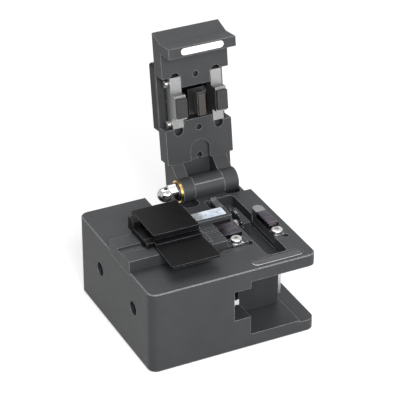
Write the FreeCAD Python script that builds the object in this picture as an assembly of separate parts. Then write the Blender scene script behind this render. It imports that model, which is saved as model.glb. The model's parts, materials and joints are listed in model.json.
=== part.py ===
import FreeCAD, Part
import math
import os

from FreeCAD import Vector

# Fibre cleaver: a bench block with a rear hinged clamp lid, a blade slider in a side channel and a
# fibre holder on a raised rail. Millimetres. Lengths are measured from the front left corner of the
# block's underside, X to the right, Y to the back, Z up; every piece is moved to the part's own frame
# (origin under the middle of the base pad) when it is saved.

# ---- block ----
BODY_WIDTH = 72.0
BODY_DEPTH = 69.0
BODY_HEIGHT = 35.5
BODY_CORNER_R = 3.5
BODY_EDGE_BREAK = 0.4
PAD_PROUD = 0.4
PAD_RECESS = 0.8
PAD_MARGIN = 6.0
PAD_CORNER_R = 4.0
REAR_STEP_WIDTH = 3.0
REAR_STEP_DEPTH = 12.5

# ---- side channel for the slider ----
BOTTOM_PLATE = 5.8
TOP_PLATE = 5.2
CHANNEL_WIDTH = 29.0
FLOOR_STEP_WIDTH = 7.0
FLOOR_STEP_DROP = 0.8
GUIDE_POCKET_WIDTH = 7.2
GUIDE_POCKET_HEIGHT = 13.2
GUIDE_Z = 20.7

# ---- miniature linear guide ----
RAIL_BAR_WIDTH = 2.4
RAIL_BAR_HEIGHT = 3.2
RAIL_BAR_FRONT = 2.5
RAIL_BAR_END_GAP = 2.0
CARRIAGE_WIDTH = 12.0
CARRIAGE_HEIGHT = 6.0
CARRIAGE_LENGTH = 20.0
CARRIAGE_GAP = 0.9
CARRIAGE_SCREW_PITCH = 11.0
CARRIAGE_SCREW_R = 1.0
CARRIAGE_SCREW_BITE = 1.6
CARRIAGE_SCREW_INSET = 3.6
CARRIAGE_SOCKET_R = 0.9
CARRIAGE_HEAD_R = 1.9
CARRIAGE_HEAD = 2.0
GUIDE_GROOVE_R = 0.3
GUIDE_GROOVE_RISE = 1.9
RUN_GAP = 0.05
SIDE_SCREW_FRONT = 16.6
SIDE_SCREW_REAR = 8.3
SIDE_WALL = 7.8
SIDE_BORE_R = 3.0
SIDE_SCREW_R = 0.8
SIDE_SCREW_HEAD_R = 1.5
SIDE_SCREW_HEAD = 1.6
SIDE_SCREW_BITE = 1.2

# ---- fibre line and blade ----
CLAMP_U = 34.8
FIBRE_RISE = 3.0
BLADE_R = 8.0
BLADE_THICKNESS = 0.8
BLADE_BORE_R = 2.0
BLADE_BEVEL = 0.9
BLADE_SETBACK = 24.5
SLIDER_TRAVEL = 22.0

# ---- blade slot in the top plate ----
SLOT_LEFT_ROOM = 2.1
SLOT_FRONT = 7.0
SLOT_BACK_WALL = 1.2
SLOT_CORNER_R = 1.6
SLOT_NARROW_LENGTH = 12.0
SLOT_NARROWING = 1.4
PIN_SLOT_OFFSET = 4.75
PIN_SLOT_WIDTH = 3.0
PIN_SLOT_LENGTH = 6.8
PIN_SLOT_DEPTH = 4.0
STRIP_WIDTH = 2.8
STRIP_THICKNESS = 1.4
STRIP_PROUD = 0.3
STRIP_LIP = 0.8

# ---- slider ----
SLIDER_SIDE_GAP = 2.0
SLIDER_WIDTH = 18.0
SLIDER_LENGTH = 38.0
SLIDER_FLOOR_GAP = 0.4
SLIDER_ROOF_GAP = 0.6
SLIDER_CHAMFER_X = 3.4
SLIDER_CHAMFER_Z = 4.1
BLADE_SLIT_WIDTH = 2.6
BLADE_SLIT_GAP = 0.9
EAR_THICKNESS = 3.4
EAR_LENGTH = 13.0
EAR_TOP_GAP = 0.4
SIDE_PLATE = 1.3
SIDE_PLATE_FRONT_INSET = 0.3
SIDE_PLATE_LENGTH = 34.0
SIDE_PLATE_BOTTOM = 9.4
SIDE_PLATE_TOP = 26.0
STOP_GROOVE_WIDTH = 4.2
STOP_GROOVE_DEPTH = 2.4
STOP_PIN_R = 2.0
STOP_PIN_INSET = 6.0
STOP_PIN_SEAT = 3.0
STOP_PIN_RISE = 2.2
BUMPER_GAP = 0.1
BUMPER_LENGTH = 3.4
BUMPER_INSET = 7.0
BUMPER_WIDTH = 8.0
BUMPER_HEIGHT = 8.0
STOP_GROOVE_START = 5.0
STOP_END_GAP = 0.1
SLIDER_BOSS_INSET = 0.5
BLADE_SIDE_GAP = 0.05
BLADE_SCREW_HEAD_R = 3.2
BLADE_SCREW_HEAD = 0.9
BLADE_SCREW_R = 1.2
BLADE_SCREW_BITE = 2.6
BLADE_SCREW_SLOT = 0.7
SIDE_PLATE_SCREW_R = 0.8
SIDE_PLATE_SCREW_BITE = 3.0
SIDE_PLATE_SCREW_HEAD_R = 1.6
SIDE_PLATE_SCREW_HEAD = 1.0
SIDE_PLATE_SCREW_INSET = 4.0
SIDE_PLATE_SCREW_DROP = 3.0
SIDE_PLATE_CORNER_R = 0.8

# ---- fibre rail ----
RAIL_FRONT_REACH = 9.1
RAIL_WIDTH = 18.6
RAIL_TOP = 4.7
RAIL_SEAT = 1.5
RAIL_BLADE_GAP = 4.15
RAIL_STEP_LENGTH = 10.85
RAIL_STEP_TOP = 0.2
LEDGE_DEPTH = 3.1
GROOVE_WIDTH = 4.0
GROOVE_DEPTH = 0.8
FIBRE_GROOVE_WIDTH = 0.4
FIBRE_GROOVE_DEPTH = 0.3
GUIDE_LINE_OFFSET = 1.8
GUIDE_LINE_WIDTH = 0.8
GUIDE_LINE_DEPTH = 0.5
POCKET_LEFT_REACH = 9.25
POCKET_RIGHT_REACH = 5.55
POCKET_FRONT_REACH = 10.6
POCKET_DEPTH = 3.0
RELIEF_R = 1.8
SHOULDER_GAP = 0.3
SCALE_START = 0.6
SCALE_LENGTH = 13.5
SCALE_THICKNESS = 0.4
SCALE_FRONT_INSET = 1.7
SCALE_REAR_INSET = 0.4
RAIL_SCREW_INSET = 5.3
RAIL_SCREW_PITCH = 13.5
RAIL_SCREW_R = 1.25
RAIL_SCREW_HEAD_R = 2.3
RAIL_SCREW_HEAD = 1.4
RAIL_SCREW_LENGTH = 7.0
SCREW_HEAD_ROUND = 0.35
SCREW_RECESS_START = 0.45

# ---- lower clamps ----
CLAMP_OFFSET = 9.1
CLAMP_LENGTH = 10.4
CLAMP_WIDTH = 4.8
SEAT_GAP = 0.1
BAR_FRONT_REACH = 10.4
BAR_THICKNESS = 0.8
LOWER_PAD_LENGTH = 10.8
LEFT_PAD_WIDTH = 8.0
RIGHT_PAD_WIDTH = 4.4
PAD_EDGE_R = 0.3
LOWER_SCREW_REACH = 8.0
LOWER_SCREW_HEAD_R = 2.4
LOWER_SCREW_HEAD = 1.7
LOWER_SCREW_R = 1.25
LOWER_SCREW_SOCKET_R = 1.0
LOWER_SCREW_LENGTH = 3.4
RIGHT_POCKET_DEPTH = 3.0
RIGHT_BAR_TOP = 0.3
RIGHT_BAR_TAIL = 5.2
RIGHT_BAR_TAIL_DROP = 0.1
RIGHT_RELIEF_R = 1.3

# ---- catch plate ----
CATCH_OFFSET = 0.9
CATCH_LIP_OFFSET = 3.1
CATCH_LENGTH = 22.2
CATCH_WIDTH = 4.2
CATCH_THICKNESS = 1.6
CATCH_SINK = 0.15

# ---- hinge ----
HINGE_INSET = 5.8
HINGE_RISE = 2.6
KNUCKLE_R = 5.0
LEFT_KNUCKLE_LENGTH = 5.2
RIGHT_KNUCKLE_LENGTH = 6.4
RIGHT_KNUCKLE_INSET = 1.8
KNUCKLE_GAP = 0.1
PIT_GAP = 1.4
PIT_SIDE_GAP = 0.4
LEFT_PIT_REACH = 9.8
RIGHT_PIT_REACH = 7.2
PIT_LEFT_ROOM = 2.2
PIT_CORNER_R = 2.6
NOTCH_ROOM = 3.2
NOTCH_REACH = 2.9
NOTCH_DEPTH = 12.0
SHAFT_R = 2.0
SHAFT_FIT = 0.03
SHAFT_HEAD_R = 3.2
SHAFT_HEAD = 2.0
SHAFT_SOCKET_R = 1.6
SHAFT_SOCKET_DEPTH = 1.4
BUSH_R = 3.0
BUSH_LENGTH = 6.0
BUSH_FLANGE_SINK = 0.3
BRASS_WASHER_R = 4.7
BRASS_WASHER = 1.0
SPRING_WASHER_R = 4.0
SPRING_WASHER = 0.8
NUT_FLATS = 7.0
NUT_HEX = 3.6
NUT_DOME_R = 3.1
NUT_CHAMFER = 0.5
NUT_NECK = 1.3

# ---- lid ----
LID_INSET = 16.25
LID_WIDTH = 29.8
OPEN_ANGLE = 98.0
PLATE_INNER = 5.9
PLATE_OUTER = 13.0
LID_TAIL = 2.2
LIP_LENGTH = 4.2
LIP_INSET = 1.2
LIP_GAP = 0.05
LID_OVERHANG = 1.8
LEG_INSET = 1.5
LEG_LENGTH = 9.7
BEVEL_START = 9.1
NECK_RECESS_LENGTH = 9.4
NECK_RECESS_DEPTH = 3.2
NECK_POCKET_WIDTH = 8.6
NECK_POCKET_LENGTH = 18.0
NECK_POCKET_DEPTH = 1.2
SIDE_RECESS_START = 24.5
SIDE_RECESS_END = 47.0
SIDE_RECESS_FLOOR = 12.0
WINDOW_START = 27.5
WINDOW_END = 41.9
LAND_HALF = 6.4
HOLE_START = 23.5
HOLE_END = 46.6
CENTRE_HOLE_R = 1.3
RELIEF_HOLE_R = 2.0
RELIEF_HOLE_DEPTH = 3.0
CENTRE_HOLE_DEPTH = 4.0
NECK_HOLE_U = 10.6
STOP_GAP = 0.03
MAGNET_LENGTH = 18.8
MAGNET_WIDTH = 2.8
MAGNET_THICKNESS = 2.0

# ---- lid rear cover ----
COVER_START = 21.5
COVER_END = 50.5
COVER_INSET = 0.3
COVER_DEPTH = 6.0
COVER_WALL = 1.5
COVER_SIDE_WALL = 1.8
COVER_SCREW_R = 0.7
COVER_SCREW_HEAD_R = 1.2
COVER_SCREW_HEAD = 1.0
COVER_SCREW_BITE = 2.6
COVER_SCREW_INSET = 1.7
COVER_SCREW_SIDE = 3.5
COVER_CORNER_R = 1.0
COVER_CHAMFER = 0.3
COVER_ROOM_INSET = 6.2

# ---- upper clamps and anvil ----
CLAMP_FACE = 0.7
CLAMP_RUBBER = 1.5
CLAMP_BASE = 10.9
CLAMP_FLOAT = 0.9
SPINDLE_START_INSET = 1.7
SPINDLE_END_INSET = 3.2
SPINDLE_V = 8.9
SPINDLE_R = 1.0
SPINDLE_HEAD_R = 1.6
SPINDLE_HEAD = 1.4
SPINDLE_END_GAP = 0.8
SPINDLE_SLOT = 0.5
CLAMP_SIDE_GAP = 0.25
RUBBER_INSET = 0.1
RUBBER_END_INSET = 1.1
SPRING_R = 1.7
SPRING_WIRE = 0.35
SPRING_TURNS = 4.5
SPRING_HOLE_R = 2.2
ANVIL_WIDTH = 3.2
ANVIL_LENGTH = 9.6
ANVIL_FACE = 1.0
ANVIL_PAD = 1.2
ANVIL_BASE = 13.05
ANVIL_HEAD = 1.2
ANVIL_HEAD_WIDTH = 5.4
GUIDE_FLANGE = 1.5
GUIDE_RISE = 6.6
GUIDE_SPAN = 7.4
GUIDE_LENGTH = 11.0

# ---- fibre holder ----
HOLDER_STEP_GAP = 2.8
HOLDER_LENGTH = 19.8
HOLDER_FRONT_REACH = 5.6
HOLDER_REAR_REACH = 14.4
HOLDER_BASE = 2.2
HOLDER_SEAT_GAP = 0.05
HOLDER_KEY_DEPTH = 0.6
FOOT_REACH = 3.0
FOOT_FRONT_REACH = 3.4
CHEEK_LENGTH = 4.8
CHEEK_HEIGHT = 5.8
CHEEK_CORNER_R = 1.4
CHEEK_GAP = 0.15
TAB_FRONT_REACH = 21.2
TAB_THICKNESS = 1.0
TAB_FLARE = 0.7
TAB_CORNER_R = 1.2
HOLDER_RAIL_GUIDE = 1.6
COVER_TOP = 5.1
COVER_SHEET = 0.8
COVER_LIFT = 0.3
BARREL_WEB = 1.2
SKIRT = 2.3
HOLDER_PIN_R = 0.75
HOLDER_BARREL_R = 1.6
HOLDER_KNUCKLES = 3
HOLDER_PAD_LENGTH = 15.0
HOLDER_PAD_WIDTH = 4.4
HOLDER_PAD_GAP = 0.3
HOLDER_MAGNET_R = 1.5
HOLDER_MAGNET = 1.2
HOLDER_RAIL_DROP = 1.6
BARREL_INSET = 0.4
HOLDER_MAGNET_INSET = 2.6
SKIRT_SET_BACK = 2.4
COVER_SHEET_CORNER_R = 0.6
HOLDER_MAGNET_REACH = 6.4

OVERCUT = 1.0
TINY = 1e-6
ALIGNED = 0.999

# ---- derived places ----
TOP = BODY_HEIGHT
HINGE_Y = BODY_DEPTH - HINGE_INSET
HINGE_Z = TOP + HINGE_RISE
LID_END = HINGE_Y + LID_OVERHANG
LIP_END = HINGE_Y - LIP_INSET
LIP_START = LIP_END - LIP_LENGTH
REAR_WALL_Y = BODY_DEPTH - REAR_STEP_DEPTH
CHANNEL_LEFT = BODY_WIDTH - CHANNEL_WIDTH
CHANNEL_TOP = TOP - TOP_PLATE
GUIDE_POCKET_LEFT = CHANNEL_LEFT - GUIDE_POCKET_WIDTH
GUIDE_FACE = GUIDE_POCKET_LEFT + CARRIAGE_HEIGHT
SIDE_BORE_DEPTH = GUIDE_POCKET_LEFT - SIDE_WALL
SIDE_SCREW_YS = (SIDE_SCREW_FRONT, REAR_WALL_Y - SIDE_SCREW_REAR)
LID_CENTRE = BODY_WIDTH - LID_INSET
LID_LEFT = LID_CENTRE - LID_WIDTH / 2
LID_RIGHT = LID_CENTRE + LID_WIDTH / 2
LEFT_KNUCKLE = LID_LEFT + LEG_INSET
BOSS_LEFT = LEFT_KNUCKLE + LEFT_KNUCKLE_LENGTH + KNUCKLE_GAP
RIGHT_KNUCKLE_END = LID_RIGHT - LEG_INSET - RIGHT_KNUCKLE_INSET
RIGHT_KNUCKLE = RIGHT_KNUCKLE_END - RIGHT_KNUCKLE_LENGTH
BOSS_RIGHT = RIGHT_KNUCKLE - KNUCKLE_GAP
NUT_FACE = LEFT_KNUCKLE - BRASS_WASHER - SPRING_WASHER
PIT_LEFT = LEFT_KNUCKLE - PIT_LEFT_ROOM
NOTCH_LEFT = NUT_FACE - NUT_HEX - NUT_NECK - NUT_DOME_R - NOTCH_ROOM
BLADE_X = LID_CENTRE
CLAMP_XS = (LID_CENTRE - CLAMP_OFFSET, LID_CENTRE + CLAMP_OFFSET)
SPINDLE_US = (SIDE_RECESS_START + SPINDLE_START_INSET, SIDE_RECESS_END - SPINDLE_END_INSET)
FIBRE_Y = HINGE_Y - CLAMP_U
FIBRE_Z = TOP + FIBRE_RISE
SLIDER_LEFT = CHANNEL_LEFT + SLIDER_SIDE_GAP
SLIDER_RIGHT = SLIDER_LEFT + SLIDER_WIDTH
SLIDER_REAR = REAR_WALL_Y - BUMPER_LENGTH - BUMPER_GAP
SLIDER_FRONT = SLIDER_REAR - SLIDER_LENGTH
SLIDER_BOTTOM = BOTTOM_PLATE + SLIDER_FLOOR_GAP
SLIDER_TOP = CHANNEL_TOP - SLIDER_ROOF_GAP
STOP_PIN_X = SLIDER_LEFT + STOP_PIN_INSET
CARRIAGE_SCREW_SEAT = SLIDER_LEFT + CARRIAGE_SCREW_INSET
BLADE_Y = SLIDER_FRONT + BLADE_SETBACK
BLADE_Z = FIBRE_Z - BLADE_R
SLOT_LEFT = BLADE_X - SLOT_LEFT_ROOM
SLOT_RIGHT = CLAMP_XS[1] - RIGHT_PAD_WIDTH / 2 - SEAT_GAP
SLOT_REAR = REAR_WALL_Y - SLOT_BACK_WALL
SLOT_NARROW_START = SLOT_REAR - SLOT_NARROW_LENGTH
STRIP_RIGHT = SLOT_LEFT + SLOT_NARROWING
PIN_SLOT_X = BLADE_X - PIN_SLOT_OFFSET
RAIL_FRONT = FIBRE_Y - RAIL_FRONT_REACH
RAIL_REAR = RAIL_FRONT + RAIL_WIDTH
RAIL_RIGHT = BLADE_X - RAIL_BLADE_GAP
RAIL_STEP_X = CLAMP_XS[0] - RAIL_STEP_LENGTH
SHOULDER_FRONT = FIBRE_Y + CLAMP_LENGTH / 2 + SHOULDER_GAP
RAIL_SCREW_XS = (RAIL_STEP_X - RAIL_SCREW_INSET - RAIL_SCREW_PITCH, RAIL_STEP_X - RAIL_SCREW_INSET)
SCALE_LEFT = RAIL_STEP_X + SCALE_START
BAR_FRONT = FIBRE_Y - BAR_FRONT_REACH
PAD_FRONT = FIBRE_Y - LOWER_PAD_LENGTH / 2
PAD_REAR = FIBRE_Y + LOWER_PAD_LENGTH / 2
GUIDE_RIGHT = CLAMP_XS[0] - LEFT_PAD_WIDTH / 2 - SEAT_GAP
LOWER_SCREW_Y = FIBRE_Y - LOWER_SCREW_REACH
POCKET_LEFT = CLAMP_XS[0] - POCKET_LEFT_REACH
POCKET_RIGHT = CLAMP_XS[0] + POCKET_RIGHT_REACH
POCKET_FRONT = FIBRE_Y - POCKET_FRONT_REACH
CATCH_X = LID_CENTRE + CATCH_OFFSET
CATCH_Y = HINGE_Y - LIP_END + CATCH_LIP_OFFSET
HOLDER_RIGHT = RAIL_STEP_X - HOLDER_STEP_GAP
HOLDER_LEFT = HOLDER_RIGHT - HOLDER_LENGTH
FOOT_LEFT = HOLDER_LEFT - FOOT_REACH
HOLDER_FRONT = FIBRE_Y - HOLDER_FRONT_REACH
HOLDER_REAR = FIBRE_Y + HOLDER_REAR_REACH
TAB_FRONT = FIBRE_Y - TAB_FRONT_REACH
HOLDER_MAGNET_Y = FIBRE_Y + HOLDER_MAGNET_REACH


def box(x0, x1, y0, y1, z0, z1):
    return Part.makeBox(x1 - x0, y1 - y0, z1 - z0, Vector(x0, y0, z0))


def rod_x(x0, x1, y, z, radius):
    return Part.makeCylinder(radius, x1 - x0, Vector(x0, y, z), Vector(1, 0, 0))


def rod_y(y0, y1, x, z, radius):
    return Part.makeCylinder(radius, y1 - y0, Vector(x, y0, z), Vector(0, 1, 0))


def rod_z(z0, z1, x, y, radius):
    return Part.makeCylinder(radius, z1 - z0, Vector(x, y, z0), Vector(0, 0, 1))


def prism_x(points, x0, x1):
    """Closed outline of (y, z) points pushed from x0 to x1."""
    corners = [Vector(x0, y, z) for y, z in points]
    face = Part.Face(Part.makePolygon(corners + corners[:1]))
    return face.extrude(Vector(x1 - x0, 0, 0))


def prism_y(points, y0, y1):
    """Closed outline of (x, z) points pushed from y0 to y1."""
    corners = [Vector(x, y0, z) for x, z in points]
    face = Part.Face(Part.makePolygon(corners + corners[:1]))
    return face.extrude(Vector(0, y1 - y0, 0))


def prism_z(points, z0, z1):
    """Closed outline of (x, y) points pushed from z0 to z1."""
    corners = [Vector(x, y, z0) for x, y in points]
    face = Part.Face(Part.makePolygon(corners + corners[:1]))
    return face.extrude(Vector(0, 0, z1 - z0))


def stadium_x(x0, x1, y, z0, z1, radius):
    """Slot shape along X with round ends, centred on y."""
    bar = box(x0 + radius, x1 - radius, y - radius, y + radius, z0, z1)
    ends = [rod_z(z0, z1, x, y, radius) for x in (x0 + radius, x1 - radius)]
    return bar.fuse(ends).removeSplitter()


def stadium_y(y0, y1, x, z0, z1, radius):
    """Slot shape along Y with round ends, centred on x."""
    bar = box(x - radius, x + radius, y0 + radius, y1 - radius, z0, z1)
    ends = [rod_z(z0, z1, x, y, radius) for y in (y0 + radius, y1 - radius)]
    return bar.fuse(ends).removeSplitter()


def edges_along(shape, axis, test):
    """Straight edges that run along an axis and whose middle passes the test."""
    found = []
    for edge in shape.Edges:
        if not isinstance(edge.Curve, Part.Line):
            continue
        ends = edge.Vertexes[-1].Point.sub(edge.Vertexes[0].Point)
        if ends.Length < TINY or abs(ends.dot(axis)) < ends.Length * ALIGNED:
            continue
        if test(edge.CenterOfMass):
            found.append(edge)
    return found


def lid_box(x0, x1, u0, u1, v0, v1):
    """Box on the closed lid: u runs from the hinge to the front, v from the hinge axis down."""
    return box(x0, x1, HINGE_Y - u1, HINGE_Y - u0, HINGE_Z - v1, HINGE_Z - v0)


def lid_rod_x(x0, x1, u, v, radius):
    return rod_x(x0, x1, HINGE_Y - u, HINGE_Z - v, radius)


def lid_rod_v(v0, v1, x, u, radius):
    return rod_z(HINGE_Z - v1, HINGE_Z - v0, x, HINGE_Y - u, radius)


def lid_profile(points, x0, x1):
    return prism_x([(HINGE_Y - u, HINGE_Z - v) for u, v in points], x0, x1)


def lid_point(u, v, angle):
    """Where a point of the lid lies once the lid has turned up by an angle: (y, z)."""
    turn = math.radians(angle)
    y = HINGE_Y - u * math.cos(turn) - v * math.sin(turn)
    z = HINGE_Z + u * math.sin(turn) - v * math.cos(turn)
    return y, z


def opened(shape):
    turned = shape.copy()
    turned.rotate(Vector(0, HINGE_Y, HINGE_Z), Vector(1, 0, 0), -OPEN_ANGLE)
    return turned


def screw_z(x, y, seat, head_r, head, shank_r, shank, recess_r):
    """Pan head screw standing on a seat, head up, with a hexagon recess."""
    body = rod_z(seat, seat + head, x, y, head_r)
    rim = [e for e in body.Edges if abs(e.CenterOfMass.z - seat - head) < TINY]
    body = body.makeFillet(head * SCREW_HEAD_ROUND, rim)
    body = body.fuse(rod_z(seat - shank, seat, x, y, shank_r))
    recess = hexagon_z(seat + head * SCREW_RECESS_START, seat + head + OVERCUT, x, y, recess_r)
    return body.cut(recess).removeSplitter()


def hexagon_z(z0, z1, x, y, corner_r):
    points = [(x + corner_r * math.cos(math.radians(60 * i)),
               y + corner_r * math.sin(math.radians(60 * i)))
              for i in range(6)]
    return prism_z(points, z0, z1)


def helix_spring(x, y, z0, z1):
    """Coil spring standing along Z between two seats."""
    height = z1 - z0 - 2 * SPRING_WIRE
    path = Part.makeHelix(height / SPRING_TURNS, height, SPRING_R - SPRING_WIRE)
    start = Vector(SPRING_R - SPRING_WIRE, 0, 0)
    section = Part.Wire(Part.makeCircle(SPRING_WIRE, start, Vector(0, 1, 0)))
    coil = Part.Wire(path.Edges).makePipeShell([section], True, True)
    coil.translate(Vector(x, y, z0 + SPRING_WIRE))
    return coil


# ---------------------------------------------------------------- block
def body_frame():
    block = box(0, BODY_WIDTH, 0, BODY_DEPTH, 0, TOP)
    step_left = BODY_WIDTH - REAR_STEP_WIDTH
    block = block.cut(box(step_left, BODY_WIDTH + OVERCUT, REAR_WALL_Y, BODY_DEPTH + OVERCUT, -OVERCUT,
                          TOP + OVERCUT))
    sharp = ((step_left, REAR_WALL_Y), (BODY_WIDTH, REAR_WALL_Y))
    corners = edges_along(block, Vector(0, 0, 1), lambda c: (round(c.x, 3), round(c.y, 3)) not in sharp)
    block = block.makeFillet(BODY_CORNER_R, corners)
    outline = [e for e in block.Edges if e.CenterOfMass.z < TINY or e.CenterOfMass.z > TOP - TINY]
    block = block.makeChamfer(BODY_EDGE_BREAK, outline)
    block = block.cut(channel()).cut(top_pockets()).cut(hinge_clearance())
    block = block.fuse(rod_x(BOSS_LEFT, BOSS_RIGHT, HINGE_Y, HINGE_Z, KNUCKLE_R))
    block = block.cut(rod_x(BOSS_LEFT - OVERCUT, BOSS_RIGHT + OVERCUT, HINGE_Y, HINGE_Z, BUSH_R))
    block = block.cut(base_recess()).cut(side_bores()).cut(fastener_holes())
    return block.removeSplitter()


def channel():
    """C shaped space, open to the front and to the right, with the narrow pocket of the guide."""
    right = BODY_WIDTH + OVERCUT
    room = box(CHANNEL_LEFT, right, -OVERCUT, REAR_WALL_Y, BOTTOM_PLATE, CHANNEL_TOP)
    step = box(BODY_WIDTH - FLOOR_STEP_WIDTH, right, -OVERCUT, REAR_WALL_Y,
               BOTTOM_PLATE - FLOOR_STEP_DROP, BOTTOM_PLATE + OVERCUT)
    half = GUIDE_POCKET_HEIGHT / 2
    pocket = box(GUIDE_POCKET_LEFT, CHANNEL_LEFT + OVERCUT, -OVERCUT, REAR_WALL_Y, GUIDE_Z - half,
                 GUIDE_Z + half)
    return room.fuse([step, pocket]).removeSplitter()


def top_pockets():
    """Everything milled into the top plate apart from the hinge."""
    above = TOP + OVERCUT
    groove = box(-OVERCUT, RAIL_RIGHT + SEAT_GAP, RAIL_FRONT - RUN_GAP, RAIL_REAR + RUN_GAP,
                 TOP - RAIL_SEAT, above)
    floor = TOP - POCKET_DEPTH
    pocket = box(POCKET_LEFT, POCKET_RIGHT, POCKET_FRONT, RAIL_FRONT + OVERCUT, floor, above)
    reliefs = [rod_z(floor, above, x, POCKET_FRONT + RELIEF_R / 2, RELIEF_R)
               for x in (POCKET_LEFT + RELIEF_R / 2, POCKET_RIGHT - RELIEF_R / 2)]
    right = right_bar_shape(SEAT_GAP, above)
    right_relief = rod_z(TOP - RIGHT_POCKET_DEPTH, above, CLAMP_XS[1] + RIGHT_PAD_WIDTH / 2,
                         BAR_FRONT - RIGHT_RELIEF_R / 2, RIGHT_RELIEF_R)
    catch = stadium_x(CATCH_X - CATCH_LENGTH / 2 - SEAT_GAP, CATCH_X + CATCH_LENGTH / 2 + SEAT_GAP,
                      CATCH_Y, TOP - CATCH_THICKNESS - CATCH_SINK, above, CATCH_WIDTH / 2 + SEAT_GAP)
    pin_slot = stadium_y(SLOT_REAR - PIN_SLOT_LENGTH, SLOT_REAR, PIN_SLOT_X, TOP - PIN_SLOT_DEPTH,
                         above, PIN_SLOT_WIDTH / 2)
    strip = box(STRIP_RIGHT - STRIP_WIDTH - SEAT_GAP, STRIP_RIGHT + SEAT_GAP, SLOT_NARROW_START, SLOT_REAR,
                TOP + STRIP_PROUD - STRIP_THICKNESS, above)
    return blade_slot().fuse([groove, pocket, right, right_relief, catch, pin_slot, strip] + reliefs)


def blade_slot():
    """Slot through the top plate, narrower behind the blade, with round outer corners."""
    outline = [(SLOT_LEFT, SLOT_FRONT), (SLOT_RIGHT, SLOT_FRONT), (SLOT_RIGHT, SLOT_REAR),
               (STRIP_RIGHT, SLOT_REAR), (STRIP_RIGHT, SLOT_NARROW_START),
               (SLOT_LEFT, SLOT_NARROW_START)]
    slot = prism_z(outline, CHANNEL_TOP - OVERCUT, TOP + OVERCUT)
    corners = edges_along(slot, Vector(0, 0, 1),
                          lambda c: c.y < SLOT_FRONT + OVERCUT or c.y > SLOT_REAR - OVERCUT)
    return slot.makeFillet(SLOT_CORNER_R, corners)


def slot_strip():
    """Light metal strip let in beside the slot's narrow part, turned up at its rear end."""
    left = STRIP_RIGHT - STRIP_WIDTH
    front = SLOT_NARROW_START + SEAT_GAP
    rear = SLOT_REAR - SEAT_GAP
    top = TOP + STRIP_PROUD
    strip = box(left, STRIP_RIGHT, front, rear, top - STRIP_THICKNESS, top)
    lip = box(left, STRIP_RIGHT, rear - STRIP_LIP, rear, top, top + STRIP_LIP)
    return strip.fuse(lip).removeSplitter()


def stop_face():
    """Rear face that the opened lid's tail comes to rest against."""
    return lid_point(-LID_TAIL, -PLATE_INNER, OPEN_ANGLE)[0] - STOP_GAP


def hinge_clearance():
    """Notch for the dome nut, pits for the lid's two knuckles and the stop face behind them."""
    above = TOP + OVERCUT
    behind = BODY_DEPTH + OVERCUT
    notch = box(NOTCH_LEFT, PIT_LEFT + OVERCUT, HINGE_Y - NOTCH_REACH, behind, TOP - NOTCH_DEPTH, above)
    left = rounded_pit(PIT_LEFT, BOSS_LEFT, HINGE_Y - LEFT_PIT_REACH)
    right = rounded_pit(BOSS_RIGHT, RIGHT_KNUCKLE_END + PIT_SIDE_GAP, HINGE_Y - RIGHT_PIT_REACH)
    stop = box(BOSS_LEFT - OVERCUT, BODY_WIDTH, stop_face(), behind, -OVERCUT, above)
    return notch.fuse([left, right, stop])


def rounded_pit(x0, x1, front):
    """Pit open to the back whose two front corners are round."""
    floor = HINGE_Z - KNUCKLE_R - PIT_GAP
    above = TOP + OVERCUT
    inner = box(x0, x1, front + PIT_CORNER_R, BODY_DEPTH + OVERCUT, floor, above)
    ends = stadium_x(x0, x1, front + PIT_CORNER_R, floor, above, PIT_CORNER_R)
    return inner.fuse(ends)


def base_recess():
    shape = box(PAD_MARGIN - SEAT_GAP, BODY_WIDTH - PAD_MARGIN + SEAT_GAP, PAD_MARGIN - SEAT_GAP,
                BODY_DEPTH - PAD_MARGIN + SEAT_GAP, -OVERCUT, PAD_RECESS)
    return shape.makeFillet(PAD_CORNER_R, edges_along(shape, Vector(0, 0, 1), lambda c: True))


def side_bores():
    """Two counterbored holes through the left wall to the guide rail."""
    bores = []
    for y in SIDE_SCREW_YS:
        bores.append(rod_x(-OVERCUT, SIDE_BORE_DEPTH, y, GUIDE_Z, SIDE_BORE_R))
        bores.append(rod_x(0, GUIDE_POCKET_LEFT + OVERCUT, y, GUIDE_Z, SIDE_SCREW_R + SEAT_GAP))
    return bores[0].fuse(bores[1:])


def fastener_holes():
    """Tapped holes for the rail screws, the lower clamp screws and the slider's stop pin."""
    holes = []
    for x in RAIL_SCREW_XS:
        holes.append(rod_z(TOP - RAIL_SCREW_LENGTH, TOP, x, FIBRE_Y, RAIL_SCREW_R))
    for x, floor in zip(CLAMP_XS, (TOP - POCKET_DEPTH, TOP - RIGHT_POCKET_DEPTH)):
        holes.append(rod_z(floor - OVERCUT, TOP, x, LOWER_SCREW_Y, LOWER_SCREW_R))
    holes.append(rod_z(BOTTOM_PLATE - STOP_PIN_SEAT, BOTTOM_PLATE + OVERCUT, STOP_PIN_X, stop_pin_y(),
                       STOP_PIN_R))
    return holes[0].fuse(holes[1:])


def base_pad():
    pad = box(PAD_MARGIN, BODY_WIDTH - PAD_MARGIN, PAD_MARGIN, BODY_DEPTH - PAD_MARGIN, -PAD_PROUD,
              PAD_RECESS)
    return pad.makeFillet(PAD_CORNER_R, edges_along(pad, Vector(0, 0, 1), lambda c: True))


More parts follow.
